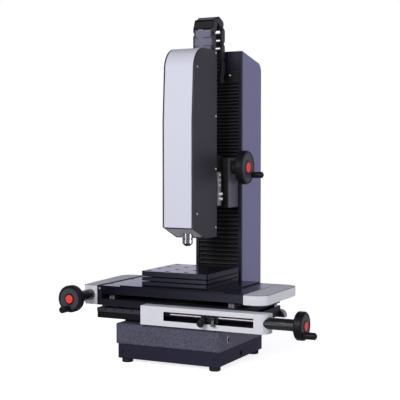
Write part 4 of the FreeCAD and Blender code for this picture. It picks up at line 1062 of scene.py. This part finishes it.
barrel_profile += [(barrel_radius, 0.0168), (barrel_radius, barrel_length - 0.0005),
                   (barrel_radius - 0.0005, barrel_length), (0, barrel_length)]
stands_for(turned_mesh("objective_barrel", chrome, (barrel_x, barrel_y, barrel_low.z + tip_height), (0, 0, 1),
                       barrel_profile, barrel_sides), "objective")
tip_profile = [(0, 0.0010), (0.0040, 0.0006), (0.0046, 0), (0.0060, 0), (0.0066, 0.0004),
               (barrel_radius * 0.74, tip_height - 0.0012), (barrel_radius * 0.78, tip_height - 0.0004),
               (barrel_radius * 0.78, tip_height), (0, tip_height)]
carried(turned_mesh("objective_tip", tip_black, (barrel_x, barrel_y, barrel_low.z), (0, 0, 1), tip_profile,
                    barrel_sides), "carriage")
paint_node("optics_tube", tube_black)
paint_node("camera", side_black)

# Energy chain
# Moulded black links, an outer one after an inner one, that carry the cables from the head to the column.
# One leg hangs behind the head, the other stands on the column's bracket, and two links on each side make the arch.
chain_black = finish("chain_black", moulded_grain, (0.018, 0.018, 0.022), specular=0.5,
                     Grain=1500.0, Depth=0.12, Rubbing=0.4, Roughness=0.34)
lid_black = finish("lid_black", moulded_grain, (0.022, 0.021, 0.025), specular=0.4,
                   Grain=700.0, Depth=0.3, Rubbing=0.6, Roughness=0.3)
# The legs' lids are painted paler and lavender, with strong pale patches: painted reflection of the pale room in
# their fronts.
lid_painted_sheen = finish("lid_painted_sheen", moulded_grain, (0.06, 0.058, 0.088), specular=0.6,
                  Grain=500.0, Depth=0.5, Rubbing=3.0, Roughness=0.3)
link_edge = 0.0005
link_pitch = 0.0201
link_half_height = 0.0095
closed_lid_length = 0.0199
open_lid_length = 0.0166
lid_thickness = 0.0020
lid_stand = 0.00015
lid_widths = {True: 0.0500, False: 0.0442}


def link_lid_tree():
    """Snap-on lids that close the links' outer side, one on each point, as wide as the point says."""
    tree, given, result = shape_group("Link Lids", Length=0.0158, Thickness=0.0020)
    size = made(tree, "ShaderNodeCombineXYZ", "Vector", {"X": 1.0, "Y": given["Length"], "Z": given["Thickness"]})
    lid = made(tree, "GeometryNodeMeshCube", "Mesh", {"Size": size})
    upward = made(tree, "ShaderNodeSeparateXYZ", "Z", {"Vector": made(tree, "GeometryNodeInputNormal", "Normal")})
    is_top = made(tree, "FunctionNodeCompare", "Result", {"A": upward, "B": 0.9})
    crown = made(tree, "GeometryNodeScaleElements", "Geometry", {"Geometry": lid, "Selection": is_top, "Scale": 0.94})
    across = made(tree, "GeometryNodeInputNamedAttribute", "Attribute", {"Name": "across"}, data_type="FLOAT")
    stretch = made(tree, "ShaderNodeCombineXYZ", "Vector", {"X": across, "Y": 1.0, "Z": 1.0})
    hand_on(on_points(given, crown, stretch), given, result)
    return tree


link_lids = link_lid_tree()


def lid_set(name, links, material, length):
    """Lids for some links; each link is (y, z, outward y, outward z, is an outer link)."""
    rise = link_half_height + lid_stand - lid_thickness / 2
    points = point_rows(name, [(0.0, y + out_y * rise, z + out_z * rise) for y, z, out_y, out_z, _ in links],
                        [(0.0, out_y, out_z) for _, _, out_y, out_z, _ in links])
    layer = points.data.attributes.new("across", "FLOAT", "POINT")
    for index, link in enumerate(links):
        layer.data[index].value = lid_widths[link[4]]
    return settled(shaped_by(points, link_lids, {"Length": length, "Thickness": lid_thickness, "Finish": material}))


for side in ("front", "rear"):
    broken_edges("chain_arch_" + side, side + "_arch_links", chain_black, link_edge)
leg_box = {node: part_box(node) for node in ("chain_moving_leg", "chain_fixed_leg")}
for leg, node, near, far, outward_y, lid_length in (
        ("moving_leg", "chain_moving_leg", "carriage", "chain_front", -1.0, closed_lid_length),
        ("fixed_leg", "chain_fixed_leg", "stand", "chain_rear", 1.0, open_lid_length)):
    bottom, top = leg_box[node]
    starts_with_outer = node == "chain_moving_leg"
    first_z = bottom.z + link_half_height
    rows = [((bottom.y + top.y) / 2, first_z + (index + 0.5) * link_pitch, outward_y, 0.0,
             (index % 2 == 0) == starts_with_outer)
            for index in range(round((top.z - link_half_height - first_z) / link_pitch))]
    links = edged_copy(node, leg + "_links", chain_black, link_edge)
    lids = lid_set(leg + "_lids", rows, lid_painted_sheen, lid_length)
    for piece in (links, lids):
        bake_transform(piece)
    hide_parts(node)

arch_z = leg_box["chain_moving_leg"][1].z - link_half_height
arch_y = sum(corner.y for ends in leg_box.values() for corner in ends) / 4
link_turn = 45.0
arch_apothem = link_pitch / 2 / math.tan(math.radians(link_turn / 2))
for side, steps, lid_length in (("front", (0, 1), closed_lid_length), ("rear", (2, 3), open_lid_length)):
    rows = []
    for step in steps:
        angle = math.radians(180.0 - link_turn * (step + 0.5))
        out_y, out_z = math.cos(angle), math.sin(angle)
        rows.append((arch_y + arch_apothem * out_y, arch_z + arch_apothem * out_z, out_y, out_z, step % 2 == 0))
    carried(lid_set(side + "_arch_lids", rows, lid_black, lid_length), "chain_" + side)
